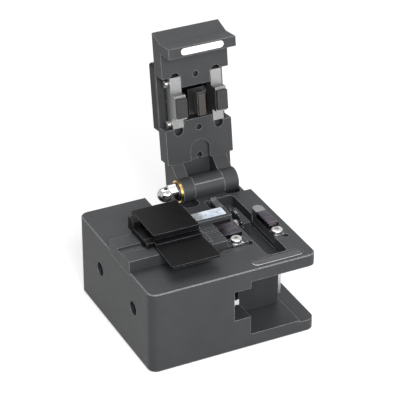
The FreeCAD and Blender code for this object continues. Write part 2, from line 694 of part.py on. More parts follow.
# ---------------------------------------------------------------- fibre rail and scale
def fibre_rail():
    """Raised bar along the fibre line: full height under the holder, stepped down beside the blade,
    with a ledge behind it that carries the scale."""
    top = TOP + RAIL_TOP
    rail = box(0, RAIL_RIGHT, RAIL_FRONT, RAIL_REAR, TOP - RAIL_SEAT, top)
    rail = rail.fuse(box(SCALE_LEFT - SCALE_REAR_INSET, RAIL_RIGHT, RAIL_REAR - OVERCUT,
                         RAIL_REAR + LEDGE_DEPTH, TOP, top))
    rail = rail.cut(box(RAIL_STEP_X, GUIDE_RIGHT, RAIL_FRONT - OVERCUT, SHOULDER_FRONT, FIBRE_Z,
                        top + OVERCUT))
    rail = rail.cut(box(GUIDE_RIGHT, RAIL_RIGHT + OVERCUT, RAIL_FRONT - OVERCUT, SHOULDER_FRONT,
                        TOP + RAIL_STEP_TOP, top + OVERCUT))
    half = GROOVE_WIDTH / 2
    rail = rail.cut(box(-OVERCUT, RAIL_STEP_X + OVERCUT, FIBRE_Y - half, FIBRE_Y + half,
                        top - GROOVE_DEPTH, top + OVERCUT))
    rail = rail.cut(furrow(-OVERCUT, GUIDE_RIGHT + OVERCUT, FIBRE_Y, FIBRE_Z, FIBRE_GROOVE_WIDTH,
                           FIBRE_GROOVE_DEPTH))
    for y in (FIBRE_Y - 3 * GUIDE_LINE_OFFSET, FIBRE_Y - GUIDE_LINE_OFFSET, FIBRE_Y + GUIDE_LINE_OFFSET):
        rail = rail.cut(furrow(RAIL_STEP_X, GUIDE_RIGHT + OVERCUT, y, FIBRE_Z, GUIDE_LINE_WIDTH,
                               GUIDE_LINE_DEPTH))
    for x in RAIL_SCREW_XS:
        rail = rail.cut(rod_z(TOP - OVERCUT - RAIL_SEAT, top, x, FIBRE_Y, RAIL_SCREW_R + SEAT_GAP))
        rail = rail.cut(rod_z(rail_screw_seat(), top + OVERCUT, x, FIBRE_Y,
                              RAIL_SCREW_HEAD_R + SEAT_GAP))
    rail = rail.cut(rod_z(TOP - OVERCUT - RAIL_SEAT, top, CLAMP_XS[0], LOWER_SCREW_Y, LOWER_SCREW_R))
    ends = edges_along(rail, Vector(0, 1, 0), lambda c: c.x < OVERCUT / 2 and c.z > top - SEAT_GAP)
    return rail.makeChamfer(BODY_EDGE_BREAK / 2, ends).removeSplitter()


def furrow(x0, x1, y, top, width, depth):
    """Shallow groove along X, open above, to be cut into a face at a given height."""
    return box(x0, x1, y - width / 2, y + width / 2, top - depth, TOP + 2 * RAIL_TOP)


def rail_screw_seat():
    return TOP + RAIL_TOP - GROOVE_DEPTH - RAIL_SCREW_HEAD


def rail_screws():
    shank = rail_screw_seat() - TOP + RAIL_SCREW_LENGTH - SEAT_GAP
    return [screw_z(x, FIBRE_Y, rail_screw_seat(), RAIL_SCREW_HEAD_R, RAIL_SCREW_HEAD - SEAT_GAP,
                    RAIL_SCREW_R, shank, RAIL_SCREW_R) for x in RAIL_SCREW_XS]


def scale_plate():
    """Thin ruled plate on the rail's shoulder and ledge, beside the holder."""
    top = TOP + RAIL_TOP
    return box(SCALE_LEFT, SCALE_LEFT + SCALE_LENGTH, SHOULDER_FRONT + SCALE_FRONT_INSET,
               RAIL_REAR + LEDGE_DEPTH - SCALE_REAR_INSET, top, top + SCALE_THICKNESS)


# ---------------------------------------------------------------- lower clamps



def lower_pad(x, width, seat):
    """Polished pad that the fibre rests on; its top is the fibre line."""
    pad = box(x - width / 2, x + width / 2, PAD_FRONT, PAD_REAR, seat, FIBRE_Z)
    return pad.makeFillet(PAD_EDGE_R, edges_along(pad, Vector(0, 1, 0), lambda c: c.z > seat + SEAT_GAP))


def left_bar_top():
    return TOP + RAIL_STEP_TOP + BAR_THICKNESS


def clamp_bar_left():
    """Flat bar on the rail's step under the left lower pad, with a narrower tongue for the screw."""
    x = CLAMP_XS[0]
    seat = TOP + RAIL_STEP_TOP
    wide = box(x - LEFT_PAD_WIDTH / 2, x + LEFT_PAD_WIDTH / 2, PAD_FRONT, PAD_REAR, seat, left_bar_top())
    tongue = box(x - CLAMP_WIDTH / 2, x + CLAMP_WIDTH / 2, BAR_FRONT, PAD_REAR, seat, left_bar_top())
    bar = wide.fuse(tongue)
    hole = rod_z(TOP, left_bar_top() + OVERCUT, x, LOWER_SCREW_Y, LOWER_SCREW_R + SEAT_GAP)
    return bar.cut(hole).removeSplitter()


def right_bar_shape(gap, top):
    """Outline of the right bar from its pocket's floor up to a height: round rear, square front."""
    x = CLAMP_XS[1]
    radius = RIGHT_PAD_WIDTH / 2 + gap
    seat = TOP - RIGHT_POCKET_DEPTH
    rear = PAD_REAR + RIGHT_BAR_TAIL - RIGHT_PAD_WIDTH / 2
    straight = box(x - radius, x + radius, BAR_FRONT - gap, rear, seat, top)
    return straight.fuse(rod_z(seat, top, x, rear, radius)).removeSplitter()


def clamp_bar_right():
    """Bar in the right pocket with a raised round tail behind the pad."""
    tail_top = FIBRE_Z - RIGHT_BAR_TAIL_DROP
    front = right_bar_shape(0, TOP + RIGHT_BAR_TOP)
    tail = right_bar_shape(0, tail_top)
    x = CLAMP_XS[1]
    room = box(x - RIGHT_PAD_WIDTH, x + RIGHT_PAD_WIDTH, BAR_FRONT - OVERCUT, PAD_REAR + SEAT_GAP, 0,
               tail_top + OVERCUT)
    bar = front.fuse(tail.cut(room))
    return bar.cut(rod_z(0, TOP + OVERCUT, x, LOWER_SCREW_Y, LOWER_SCREW_R + SEAT_GAP)).removeSplitter()


def lower_clamp_screws():
    seats = (left_bar_top(), TOP + RIGHT_BAR_TOP)
    return [screw_z(x, LOWER_SCREW_Y, seat, LOWER_SCREW_HEAD_R, LOWER_SCREW_HEAD, LOWER_SCREW_R,
                    LOWER_SCREW_LENGTH, LOWER_SCREW_SOCKET_R) for x, seat in zip(CLAMP_XS, seats)]


def catch_plate():
    """Steel insert that the lid's magnet pulls on."""
    top = TOP - CATCH_SINK
    plate = stadium_x(CATCH_X - CATCH_LENGTH / 2, CATCH_X + CATCH_LENGTH / 2, CATCH_Y,
                      top - CATCH_THICKNESS, top, CATCH_WIDTH / 2)
    rim = [e for e in plate.Edges if abs(e.CenterOfMass.z - top) < TINY]
    return plate.makeChamfer(PAD_EDGE_R, rim)


# ---------------------------------------------------------------- hinge hardware
def hinge_bushes():
    """Two bronze sleeves pressed into the block's hinge boss from both ends."""
    spans = ((BOSS_LEFT, BOSS_LEFT + BUSH_LENGTH), (BOSS_RIGHT - BUSH_LENGTH, BOSS_RIGHT))
    bushes = []
    for x0, x1 in spans:
        sleeve = rod_x(x0, x1, HINGE_Y, HINGE_Z, BUSH_R)
        bushes.append(sleeve.cut(rod_x(x0 - OVERCUT, x1 + OVERCUT, HINGE_Y, HINGE_Z,
                                       SHAFT_R + SHAFT_FIT)))
    return bushes


def hinge_shaft():
    """Shoulder bolt along the hinge, head sunk in the right knuckle, thread in the dome nut."""
    head_end = RIGHT_KNUCKLE_END - BUSH_FLANGE_SINK
    shaft = rod_x(NUT_FACE - NUT_HEX, head_end, HINGE_Y, HINGE_Z, SHAFT_R)
    shaft = shaft.fuse(rod_x(head_end - SHAFT_HEAD, head_end, HINGE_Y, HINGE_Z, SHAFT_HEAD_R))
    socket = hexagon_x(head_end - SHAFT_SOCKET_DEPTH, head_end + OVERCUT, HINGE_Y, HINGE_Z, SHAFT_SOCKET_R)
    return shaft.cut(socket).removeSplitter()


def hexagon_x(x0, x1, y, z, corner_r):
    points = [(y + corner_r * math.sin(math.radians(60 * i)),
               z + corner_r * math.cos(math.radians(60 * i)))
              for i in range(6)]
    return prism_x(points, x0, x1)


def dome_nut():
    """Acorn nut: hexagon with chamfered corners, dome and a blind bore for the shaft."""
    hex_left = NUT_FACE - NUT_HEX
    corner_r = NUT_FLATS / math.sqrt(3)
    hexagon = hexagon_x(hex_left, NUT_FACE, HINGE_Y, HINGE_Z, corner_r)
    taper = Part.makeCone(corner_r - NUT_CHAMFER, corner_r + NUT_HEX - NUT_CHAMFER, NUT_HEX,
                          Vector(hex_left, HINGE_Y, HINGE_Z), Vector(1, 0, 0))
    hexagon = hexagon.common(taper)
    neck = rod_x(hex_left - NUT_NECK, hex_left, HINGE_Y, HINGE_Z, NUT_DOME_R)
    dome = Part.makeSphere(NUT_DOME_R, Vector(hex_left - NUT_NECK, HINGE_Y, HINGE_Z))
    keep = box(0, hex_left, HINGE_Y - 2 * NUT_DOME_R, HINGE_Y + 2 * NUT_DOME_R, 0, 2 * TOP)
    nut = hexagon.fuse([neck, dome.common(keep)])
    bore = rod_x(hex_left, NUT_FACE + OVERCUT, HINGE_Y, HINGE_Z, SHAFT_R)
    return nut.cut(bore).removeSplitter()


def washer_x(x0, x1, outer_r):
    ring = rod_x(x0, x1, HINGE_Y, HINGE_Z, outer_r)
    return ring.cut(rod_x(x0 - OVERCUT, x1 + OVERCUT, HINGE_Y, HINGE_Z, SHAFT_R + SEAT_GAP))


def spring_washer():
    return washer_x(NUT_FACE, NUT_FACE + SPRING_WASHER, SPRING_WASHER_R)


def brass_washer():
    start = NUT_FACE + SPRING_WASHER
    return washer_x(start, start + BRASS_WASHER, BRASS_WASHER_R)


# ---------------------------------------------------------------- slider guide and stops
def guide_rail():
    """Hardened guide rail with its two side grooves and tapped holes from behind."""
    half = RAIL_BAR_WIDTH / 2
    x0 = GUIDE_POCKET_LEFT
    x1 = GUIDE_POCKET_LEFT + RAIL_BAR_HEIGHT
    rail = box(x0, x1, RAIL_BAR_FRONT, REAR_WALL_Y - RAIL_BAR_END_GAP, GUIDE_Z - half,
               GUIDE_Z + half)
    for side in (-1, 1):
        rail = rail.cut(rod_y(0, BODY_DEPTH, groove_x(), GUIDE_Z + side * half, GUIDE_GROOVE_R))
    for y in SIDE_SCREW_YS:
        rail = rail.cut(rod_x(x0 - OVERCUT, x0 + SIDE_SCREW_BITE, y, GUIDE_Z, SIDE_SCREW_R))
    return rail


def groove_x():
    return GUIDE_POCKET_LEFT + GUIDE_GROOVE_RISE


def guide_rail_screws():
    """Cap screws deep in the left wall's counterbores."""
    screws = []
    for y in SIDE_SCREW_YS:
        head = rod_x(SIDE_BORE_DEPTH - SIDE_SCREW_HEAD, SIDE_BORE_DEPTH, y, GUIDE_Z, SIDE_SCREW_HEAD_R)
        shank = rod_x(SIDE_BORE_DEPTH, GUIDE_POCKET_LEFT + SIDE_SCREW_BITE - SEAT_GAP, y, GUIDE_Z,
                      SIDE_SCREW_R)
        socket = hexagon_x(0, SIDE_BORE_DEPTH - SIDE_SCREW_HEAD / 2, y, GUIDE_Z, SIDE_SCREW_R)
        screws.append(head.fuse(shank).cut(socket).removeSplitter())
    return screws


def guide_carriage():
    """Saddle that runs on the guide rail."""
    half = CARRIAGE_WIDTH / 2
    rail_half = RAIL_BAR_WIDTH / 2 + RUN_GAP
    front = (SLIDER_FRONT + SLIDER_REAR) / 2 - CARRIAGE_LENGTH / 2
    rear = front + CARRIAGE_LENGTH
    saddle = box(GUIDE_POCKET_LEFT + CARRIAGE_GAP, GUIDE_FACE, front, rear, GUIDE_Z - half,
                 GUIDE_Z + half)
    saddle = saddle.cut(box(0, GUIDE_POCKET_LEFT + RAIL_BAR_HEIGHT + RUN_GAP, front - OVERCUT,
                            rear + OVERCUT, GUIDE_Z - rail_half, GUIDE_Z + rail_half))
    ribs = []
    for side in (-1, 1):
        rib = rod_y(front, rear, groove_x(), GUIDE_Z + side * RAIL_BAR_WIDTH / 2,
                    GUIDE_GROOVE_R - RUN_GAP)
        ribs.append(rib)
    saddle = saddle.fuse(ribs)
    for y in carriage_screw_ys():
        saddle = saddle.cut(rod_x(GUIDE_FACE - CARRIAGE_SCREW_BITE, GUIDE_FACE + OVERCUT, y, GUIDE_Z,
                                  CARRIAGE_SCREW_R))
    return saddle.removeSplitter()


def carriage_screw_ys():
    middle = (SLIDER_FRONT + SLIDER_REAR) / 2
    return (middle - CARRIAGE_SCREW_PITCH / 2, middle + CARRIAGE_SCREW_PITCH / 2)


def rear_bumper():
    """Rubber block on the channel's rear wall that the slider comes to rest against."""
    left = CHANNEL_LEFT + BUMPER_INSET
    half = BUMPER_HEIGHT / 2
    return box(left, left + BUMPER_WIDTH, REAR_WALL_Y - BUMPER_LENGTH, REAR_WALL_Y, GUIDE_Z - half,
               GUIDE_Z + half)


def stop_pin_y():
    """The stop pin stands at the rear end of the slider's groove when the slider is drawn forward."""
    return SLIDER_FRONT + STOP_GROOVE_START + STOP_PIN_R + STOP_END_GAP


def slider_stop_pin():
    return rod_z(BOTTOM_PLATE - STOP_PIN_SEAT, BOTTOM_PLATE + STOP_PIN_RISE, STOP_PIN_X, stop_pin_y(),
                 STOP_PIN_R)


# ---------------------------------------------------------------- slider
def slider_block():
    """Carrier in the side channel: chamfered lower left edge, boss into the guide pocket, blade ear."""
    outline = [(SLIDER_LEFT, SLIDER_BOTTOM + SLIDER_CHAMFER_Z),
               (SLIDER_LEFT + SLIDER_CHAMFER_X, SLIDER_BOTTOM),
               (SLIDER_RIGHT, SLIDER_BOTTOM), (SLIDER_RIGHT, SLIDER_TOP), (SLIDER_LEFT, SLIDER_TOP)]
    block = prism_y(outline, SLIDER_FRONT, SLIDER_REAR)
    boss_half = CARRIAGE_WIDTH / 2 - SLIDER_BOSS_INSET
    ys = carriage_screw_ys()
    boss = box(GUIDE_FACE, SLIDER_LEFT + OVERCUT, ys[0] - CARRIAGE_SCREW_PITCH / 2,
               ys[1] + CARRIAGE_SCREW_PITCH / 2, GUIDE_Z - boss_half, GUIDE_Z + boss_half)
    block = block.fuse([boss, blade_ear()])
    block = block.cut(blade_slit()).cut(stop_groove())
    for y in ys:
        block = block.cut(rod_x(GUIDE_FACE - OVERCUT, SLIDER_RIGHT, y, GUIDE_Z,
                                CARRIAGE_SCREW_R + SEAT_GAP))
        block = block.cut(rod_x(CARRIAGE_SCREW_SEAT, SLIDER_RIGHT + OVERCUT, y, GUIDE_Z,
                                CARRIAGE_HEAD_R + SEAT_GAP))
    for y, z in side_plate_screw_places():
        block = block.cut(rod_x(SLIDER_RIGHT - SIDE_PLATE_SCREW_BITE, SLIDER_RIGHT + OVERCUT, y, z,
                                SIDE_PLATE_SCREW_R))
    block = block.cut(rod_x(ear_left() - OVERCUT, ear_left() + BLADE_SCREW_BITE, BLADE_Y, BLADE_Z,
                            BLADE_SCREW_R))
    return block.removeSplitter()


def ear_left():
    """Face that the blade's hub is screwed to."""
    return BLADE_X + BLADE_THICKNESS / 2 + BLADE_SIDE_GAP


def blade_ear():
    """Upright beside the blade that rises into the slot of the top plate."""
    return box(ear_left(), ear_left() + EAR_THICKNESS, BLADE_Y - EAR_LENGTH / 2,
               BLADE_Y + EAR_LENGTH / 2, SLIDER_TOP - OVERCUT, TOP - EAR_TOP_GAP)


def blade_slit():
    """Pocket that the lower half of the blade wheel and its screw head turn in."""
    left = ear_left() - BLADE_SLIT_WIDTH
    return rod_x(left, ear_left(), BLADE_Y, BLADE_Z, BLADE_R + BLADE_SLIT_GAP)


def stop_groove():
    """Groove under the slider that the stop pin rides in."""
    half = STOP_GROOVE_WIDTH / 2
    start = SLIDER_FRONT + STOP_GROOVE_START
    end = start + SLIDER_TRAVEL + 2 * STOP_PIN_R + 2 * STOP_END_GAP
    return box(STOP_PIN_X - half, STOP_PIN_X + half, start, end, SLIDER_BOTTOM - OVERCUT,
               SLIDER_BOTTOM + STOP_GROOVE_DEPTH)


def carriage_screws():
    screws = []
    for y in carriage_screw_ys():
        head = rod_x(CARRIAGE_SCREW_SEAT, CARRIAGE_SCREW_SEAT + CARRIAGE_HEAD, y, GUIDE_Z,
                     CARRIAGE_HEAD_R)
        shank = rod_x(GUIDE_FACE - CARRIAGE_SCREW_BITE + SEAT_GAP, CARRIAGE_SCREW_SEAT, y, GUIDE_Z,
                      CARRIAGE_SCREW_R)
        socket = hexagon_x(CARRIAGE_SCREW_SEAT + CARRIAGE_HEAD / 2, SLIDER_RIGHT, y, GUIDE_Z,
                           CARRIAGE_SOCKET_R)
        screws.append(head.fuse(shank).cut(socket).removeSplitter())
    return screws


def side_plate_span():
    front = SLIDER_FRONT + SIDE_PLATE_FRONT_INSET
    return front, front + SIDE_PLATE_LENGTH


def side_plate_screw_places():
    front, rear = side_plate_span()
    z = SIDE_PLATE_TOP - SIDE_PLATE_SCREW_DROP
    return [(front + SIDE_PLATE_SCREW_INSET, z), (rear - SIDE_PLATE_SCREW_INSET, z)]


def slider_side_plate():
    """Bright steel plate on the slider's right side."""
    front, rear = side_plate_span()
    plate = box(SLIDER_RIGHT, SLIDER_RIGHT + SIDE_PLATE, front, rear, SIDE_PLATE_BOTTOM, SIDE_PLATE_TOP)
    plate = plate.makeFillet(SIDE_PLATE_CORNER_R, edges_along(plate, Vector(1, 0, 0), lambda c: True))
    for y, z in side_plate_screw_places():
        plate = plate.cut(rod_x(SLIDER_RIGHT - OVERCUT, SLIDER_RIGHT + SIDE_PLATE + OVERCUT, y, z,
                                SIDE_PLATE_SCREW_R + SEAT_GAP))
    return plate


def side_plate_screws():
    seat = SLIDER_RIGHT + SIDE_PLATE
    screws = []
    for y, z in side_plate_screw_places():
        head = rod_x(seat, seat + SIDE_PLATE_SCREW_HEAD, y, z, SIDE_PLATE_SCREW_HEAD_R)
        shank = rod_x(SLIDER_RIGHT - SIDE_PLATE_SCREW_BITE + SEAT_GAP, seat, y, z, SIDE_PLATE_SCREW_R)
        socket = hexagon_x(seat + SIDE_PLATE_SCREW_HEAD / 2, seat + 2 * SIDE_PLATE_SCREW_HEAD, y, z,
                           SIDE_PLATE_SCREW_R)
        screws.append(head.fuse(shank).cut(socket).removeSplitter())
    return screws


def blade_left():
    return BLADE_X - BLADE_THICKNESS / 2


def blade_wheel():
    """Round blade with a two sided cutting bevel."""
    rim = BLADE_THICKNESS / 2
    core = BLADE_R - BLADE_BEVEL
    disc = rod_x(blade_left(), blade_left() + BLADE_THICKNESS, BLADE_Y, BLADE_Z, core)
    left = Part.makeCone(core, BLADE_R, rim, Vector(blade_left(), BLADE_Y, BLADE_Z), Vector(1, 0, 0))
    right = Part.makeCone(BLADE_R, core, rim, Vector(BLADE_X, BLADE_Y, BLADE_Z), Vector(1, 0, 0))
    wheel = disc.fuse([left, right])
    bore = rod_x(blade_left() - OVERCUT, ear_left() + OVERCUT, BLADE_Y, BLADE_Z, BLADE_BORE_R)
    return wheel.cut(bore).removeSplitter()


def blade_screw():
    """Shouldered screw that the blade turns on: head at the left, thread in the ear."""
    head_seat = blade_left() - BLADE_SIDE_GAP
    shoulder = rod_x(head_seat, ear_left(), BLADE_Y, BLADE_Z, BLADE_BORE_R - SHAFT_FIT)
    head = rod_x(head_seat - BLADE_SCREW_HEAD, head_seat, BLADE_Y, BLADE_Z, BLADE_SCREW_HEAD_R)
    shank = rod_x(ear_left(), ear_left() + BLADE_SCREW_BITE - SEAT_GAP, BLADE_Y, BLADE_Z, BLADE_SCREW_R)
    slot = box(head_seat - 2 * BLADE_SCREW_HEAD, head_seat - BLADE_SCREW_HEAD / 2,
               BLADE_Y - BLADE_SCREW_SLOT / 2, BLADE_Y + BLADE_SCREW_SLOT / 2, BLADE_Z - BLADE_R,
               BLADE_Z + BLADE_R)
    return head.fuse([shoulder, shank]).cut(slot).removeSplitter()


# ---------------------------------------------------------------- lid
def lid_frame():
    """Clamp arm: plate, front lip, recesses for clamps and anvil, two knuckles with bevelled necks."""
    lip_v = HINGE_RISE - LIP_GAP
    outline = [(-LID_TAIL, -PLATE_OUTER), (LID_END, -PLATE_OUTER), (LIP_END, -PLATE_INNER),
               (LIP_END, lip_v), (LIP_START, lip_v), (LIP_START, -PLATE_INNER),
               (-LID_TAIL, -PLATE_INNER)]
    lid = lid_profile(outline, LID_LEFT, LID_RIGHT)
    for x0, x1 in ((LID_LEFT - OVERCUT, LID_LEFT + LEG_INSET),
                   (LID_RIGHT - LEG_INSET, LID_RIGHT + OVERCUT)):
        lid = lid.cut(lid_box(x0, x1, -LID_TAIL - OVERCUT, LEG_LENGTH, -PLATE_OUTER - OVERCUT,
                              -PLATE_INNER + OVERCUT))
    lid = lid.fuse(knuckles())
    lid = lid.cut(lid_recesses()).cut(lid_holes())
    return lid.removeSplitter()


def knuckles():
    shapes = []
    for x0, x1 in ((LEFT_KNUCKLE, LEFT_KNUCKLE + LEFT_KNUCKLE_LENGTH),
                   (RIGHT_KNUCKLE, RIGHT_KNUCKLE_END)):
        start = BEVEL_START - PLATE_INNER
        reach = (start + math.sqrt(2 * KNUCKLE_R ** 2 - start ** 2)) / 2
        neck = [(-KNUCKLE_R, 0), (-LID_TAIL, -PLATE_INNER - SEAT_GAP),
                (BEVEL_START, -PLATE_INNER - SEAT_GAP),
                (BEVEL_START, -PLATE_INNER), (reach, start - reach), (0, 0)]
        shapes.append(lid_rod_x(x0, x1, 0, 0, KNUCKLE_R))
        shapes.append(lid_profile(neck, x0, x1))
    return shapes


def lid_recesses():
    """Pockets for the two clamps, open to the sides, the middle window and the hinge end's recesses."""
    below = -PLATE_INNER + OVERCUT
    cuts = [lid_box(LID_LEFT - OVERCUT, LID_CENTRE - LAND_HALF, SIDE_RECESS_START, SIDE_RECESS_END,
                    -SIDE_RECESS_FLOOR, below)]
    cuts.append(lid_box(LID_CENTRE + LAND_HALF, LID_RIGHT + OVERCUT, SIDE_RECESS_START, SIDE_RECESS_END,
                        -SIDE_RECESS_FLOOR, below))
    cuts.append(lid_box(LID_CENTRE - LAND_HALF - OVERCUT, LID_CENTRE + LAND_HALF + OVERCUT, WINDOW_START,
                        WINDOW_END, -PLATE_OUTER - OVERCUT, below))
    cuts.append(lid_box(BOSS_LEFT - KNUCKLE_GAP, BOSS_RIGHT + KNUCKLE_GAP, -LID_TAIL - OVERCUT,
                        NECK_RECESS_LENGTH, -PLATE_INNER - NECK_RECESS_DEPTH, below))
    half = NECK_POCKET_WIDTH / 2
    floor = -PLATE_INNER - NECK_POCKET_DEPTH
    round_u = NECK_POCKET_LENGTH - half
    cuts.append(lid_box(LID_CENTRE - half, LID_CENTRE + half, 0, round_u, floor, below))
    cuts.append(lid_rod_v(floor, below, LID_CENTRE, round_u, half))
    cuts.append(magnet_shape(SEAT_GAP, OVERCUT))
    return cuts[0].fuse(cuts[1:])


def magnet_shape(gap, proud):
    """Round ended bar in the lip's face."""
    radius = MAGNET_WIDTH / 2 + gap
    length = MAGNET_LENGTH / 2 + gap
    y = HINGE_Y - (LIP_START + LIP_END) / 2
    bottom = HINGE_Z - HINGE_RISE + LIP_GAP
    return stadium_x(LID_CENTRE - length, LID_CENTRE + length, y, bottom - proud,
                     bottom + MAGNET_THICKNESS, radius)


def lid_holes():
    """Hinge bore, spindle bores, clamp relief holes, spring holes and cover screw holes."""
    end = RIGHT_KNUCKLE_END + OVERCUT
    cuts = [lid_rod_x(LEFT_KNUCKLE - OVERCUT, end, 0, 0, SHAFT_R)]
    cuts.append(lid_rod_x(RIGHT_KNUCKLE_END - SHAFT_HEAD - BUSH_FLANGE_SINK, end, 0, 0,
                          SHAFT_HEAD_R + SEAT_GAP))
    for u in SPINDLE_US:
        cuts.append(lid_rod_x(LID_CENTRE - LAND_HALF - OVERCUT, LID_CENTRE + LAND_HALF + OVERCUT, u,
                              -SPINDLE_V, SPINDLE_R))
    for u in (HOLE_START, HOLE_END):
        cuts.append(lid_rod_v(-PLATE_INNER - CENTRE_HOLE_DEPTH / 2, 0, LID_CENTRE, u, CENTRE_HOLE_R))
        for x in CLAMP_XS:
            cuts.append(lid_rod_v(-PLATE_INNER - RELIEF_HOLE_DEPTH, 0, x, u, RELIEF_HOLE_R))
    cuts.append(lid_rod_v(-PLATE_INNER - CENTRE_HOLE_DEPTH, 0, LID_CENTRE, NECK_HOLE_U, CENTRE_HOLE_R))
    for x in CLAMP_XS:
        cuts.append(lid_rod_v(-PLATE_OUTER - OVERCUT, -SIDE_RECESS_FLOOR + OVERCUT, x, CLAMP_U,
                              SPRING_HOLE_R))
    for x, u in cover_screw_places():
        cuts.append(lid_rod_v(-PLATE_OUTER - OVERCUT, -PLATE_OUTER + COVER_SCREW_BITE, x, u,
                              COVER_SCREW_R))
    return cuts[0].fuse(cuts[1:])


def lid_magnet_bar():
    return magnet_shape(0, 0)


def cover_screw_places():
    xs = (LID_LEFT + COVER_SCREW_SIDE, LID_RIGHT - COVER_SCREW_SIDE)
    us = (COVER_START + COVER_SCREW_INSET, COVER_END - COVER_SCREW_INSET)
    return [(x, u) for x in xs for u in us]


def lid_rear_cover():
    """Box behind the plate that houses the clamp springs and the anvil's stem."""
    left = LID_LEFT + COVER_INSET
    right = LID_RIGHT - COVER_INSET
    outer = -PLATE_OUTER - COVER_DEPTH
    cover = lid_box(left, right, COVER_START, COVER_END, outer, -PLATE_OUTER)
    edges = edges_along(cover, Vector(0, 0, 1), lambda c: True)
    cover = cover.makeFillet(COVER_CORNER_R, edges)
    rim = [e for e in cover.Edges if abs(e.CenterOfMass.z - (HINGE_Z - outer)) < TINY]
    cover = cover.makeChamfer(COVER_CHAMFER, rim)
    room = lid_box(left + COVER_SIDE_WALL, right - COVER_SIDE_WALL, COVER_START + COVER_ROOM_INSET,
                   COVER_END - COVER_ROOM_INSET, outer + COVER_WALL, -PLATE_OUTER + OVERCUT)
    cover = cover.cut(room)
    for x, u in cover_screw_places():
        cover = cover.cut(lid_rod_v(outer - OVERCUT, 0, x, u, COVER_SCREW_R + SEAT_GAP))
        cover = cover.cut(lid_rod_v(outer - OVERCUT, outer + COVER_SCREW_HEAD + SEAT_GAP, x, u,
                                    COVER_SCREW_HEAD_R + SEAT_GAP))
    return cover.removeSplitter()


def lid_cover_screws():
    outer = -PLATE_OUTER - COVER_DEPTH
    seat = outer + COVER_SCREW_HEAD + SEAT_GAP
    screws = []
    for x, u in cover_screw_places():
        head = lid_rod_v(outer + SEAT_GAP, seat, x, u, COVER_SCREW_HEAD_R)
        shank = lid_rod_v(seat, -PLATE_OUTER + COVER_SCREW_BITE - SEAT_GAP, x, u, COVER_SCREW_R)
        y = HINGE_Y - u
        socket = hexagon_z(HINGE_Z - outer - COVER_SCREW_HEAD / 2, HINGE_Z - outer + OVERCUT, x, y,
                           COVER_SCREW_R)
        screws.append(head.fuse(shank).cut(socket).removeSplitter())
    return screws


# ---------------------------------------------------------------- upper clamps
def clamp_bracket(x):
    """Hat shaped clamp: two flanges that ride on the spindles and a crown for the rubber."""
    half = CLAMP_WIDTH / 2
    crown_start = CLAMP_U - CLAMP_LENGTH / 2
    crown_end = CLAMP_U + CLAMP_LENGTH / 2
    base = lid_box(x - half, x + half, SIDE_RECESS_START + CLAMP_SIDE_GAP,
                   SIDE_RECESS_END - CLAMP_SIDE_GAP, -CLAMP_BASE, -PLATE_INNER)
    crown = lid_box(x - half, x + half, crown_start, crown_end, -PLATE_INNER, -CLAMP_FACE - CLAMP_RUBBER)
    bracket = base.fuse(crown)
    for u in SPINDLE_US:
        reach = SPINDLE_R + RUN_GAP
        slot = lid_box(x - half - OVERCUT, x + half + OVERCUT, u - reach, u + reach, -SPINDLE_V,
                       -SPINDLE_V + CLAMP_FLOAT)
        bracket = bracket.cut(slot)
        for v in (-SPINDLE_V, -SPINDLE_V + CLAMP_FLOAT):
            bracket = bracket.cut(lid_rod_x(x - half - OVERCUT, x + half + OVERCUT, u, v, reach))
    return bracket.removeSplitter()


def clamp_rubber(x):
    """Rubber face with its two bright end strips left to the bracket."""
    half = CLAMP_WIDTH / 2 - RUBBER_INSET
    length = CLAMP_LENGTH / 2 - RUBBER_END_INSET
    return lid_box(x - half, x + half, CLAMP_U - length, CLAMP_U + length, -CLAMP_FACE - CLAMP_RUBBER,
                   -CLAMP_FACE)


def clamp_spindles():
    """Two slotted pins across the lid that hold the brackets."""
    left = CLAMP_XS[0] - CLAMP_WIDTH / 2 - RUN_GAP
    right = CLAMP_XS[1] + CLAMP_WIDTH / 2 + SPINDLE_END_GAP
    pins = []
    for u in SPINDLE_US:
        pin = lid_rod_x(left, right, u, -SPINDLE_V, SPINDLE_R)
        head = lid_rod_x(left - SPINDLE_HEAD, left, u, -SPINDLE_V, SPINDLE_HEAD_R)
        slot = lid_box(left - 2 * SPINDLE_HEAD, left - SPINDLE_HEAD / 2, u - SPINDLE_SLOT / 2,
                       u + SPINDLE_SLOT / 2, -SPINDLE_V - SPINDLE_HEAD_R, -SPINDLE_V + SPINDLE_HEAD_R)
        pins.append(pin.fuse(head).cut(slot).removeSplitter())
    return pins


def spring_seat_z():
    return HINGE_Z + PLATE_OUTER + COVER_DEPTH - COVER_WALL


def clamp_spring(x):
    return helix_spring(x, HINGE_Y - CLAMP_U, HINGE_Z + CLAMP_BASE, spring_seat_z())


# ---------------------------------------------------------------- anvil
def anvil_block():
    """Narrow pusher between the clamps with a wide head that the spring acts on."""
    half = ANVIL_WIDTH / 2
    length = ANVIL_LENGTH / 2
    bar = lid_box(LID_CENTRE - half, LID_CENTRE + half, CLAMP_U - length, CLAMP_U + length, -ANVIL_BASE,
                  -ANVIL_FACE - ANVIL_PAD)
    head_half = ANVIL_HEAD_WIDTH / 2
    head = lid_box(LID_CENTRE - head_half, LID_CENTRE + head_half, CLAMP_U - length, CLAMP_U + length,
                   -ANVIL_BASE - ANVIL_HEAD, -ANVIL_BASE)
    return bar.fuse(head).removeSplitter()


def anvil_pad():
    half = ANVIL_WIDTH / 2 - RUBBER_INSET
    length = ANVIL_LENGTH / 2 - RUBBER_INSET
    return lid_box(LID_CENTRE - half, LID_CENTRE + half, CLAMP_U - length, CLAMP_U + length,
                   -ANVIL_FACE - ANVIL_PAD, -ANVIL_FACE)


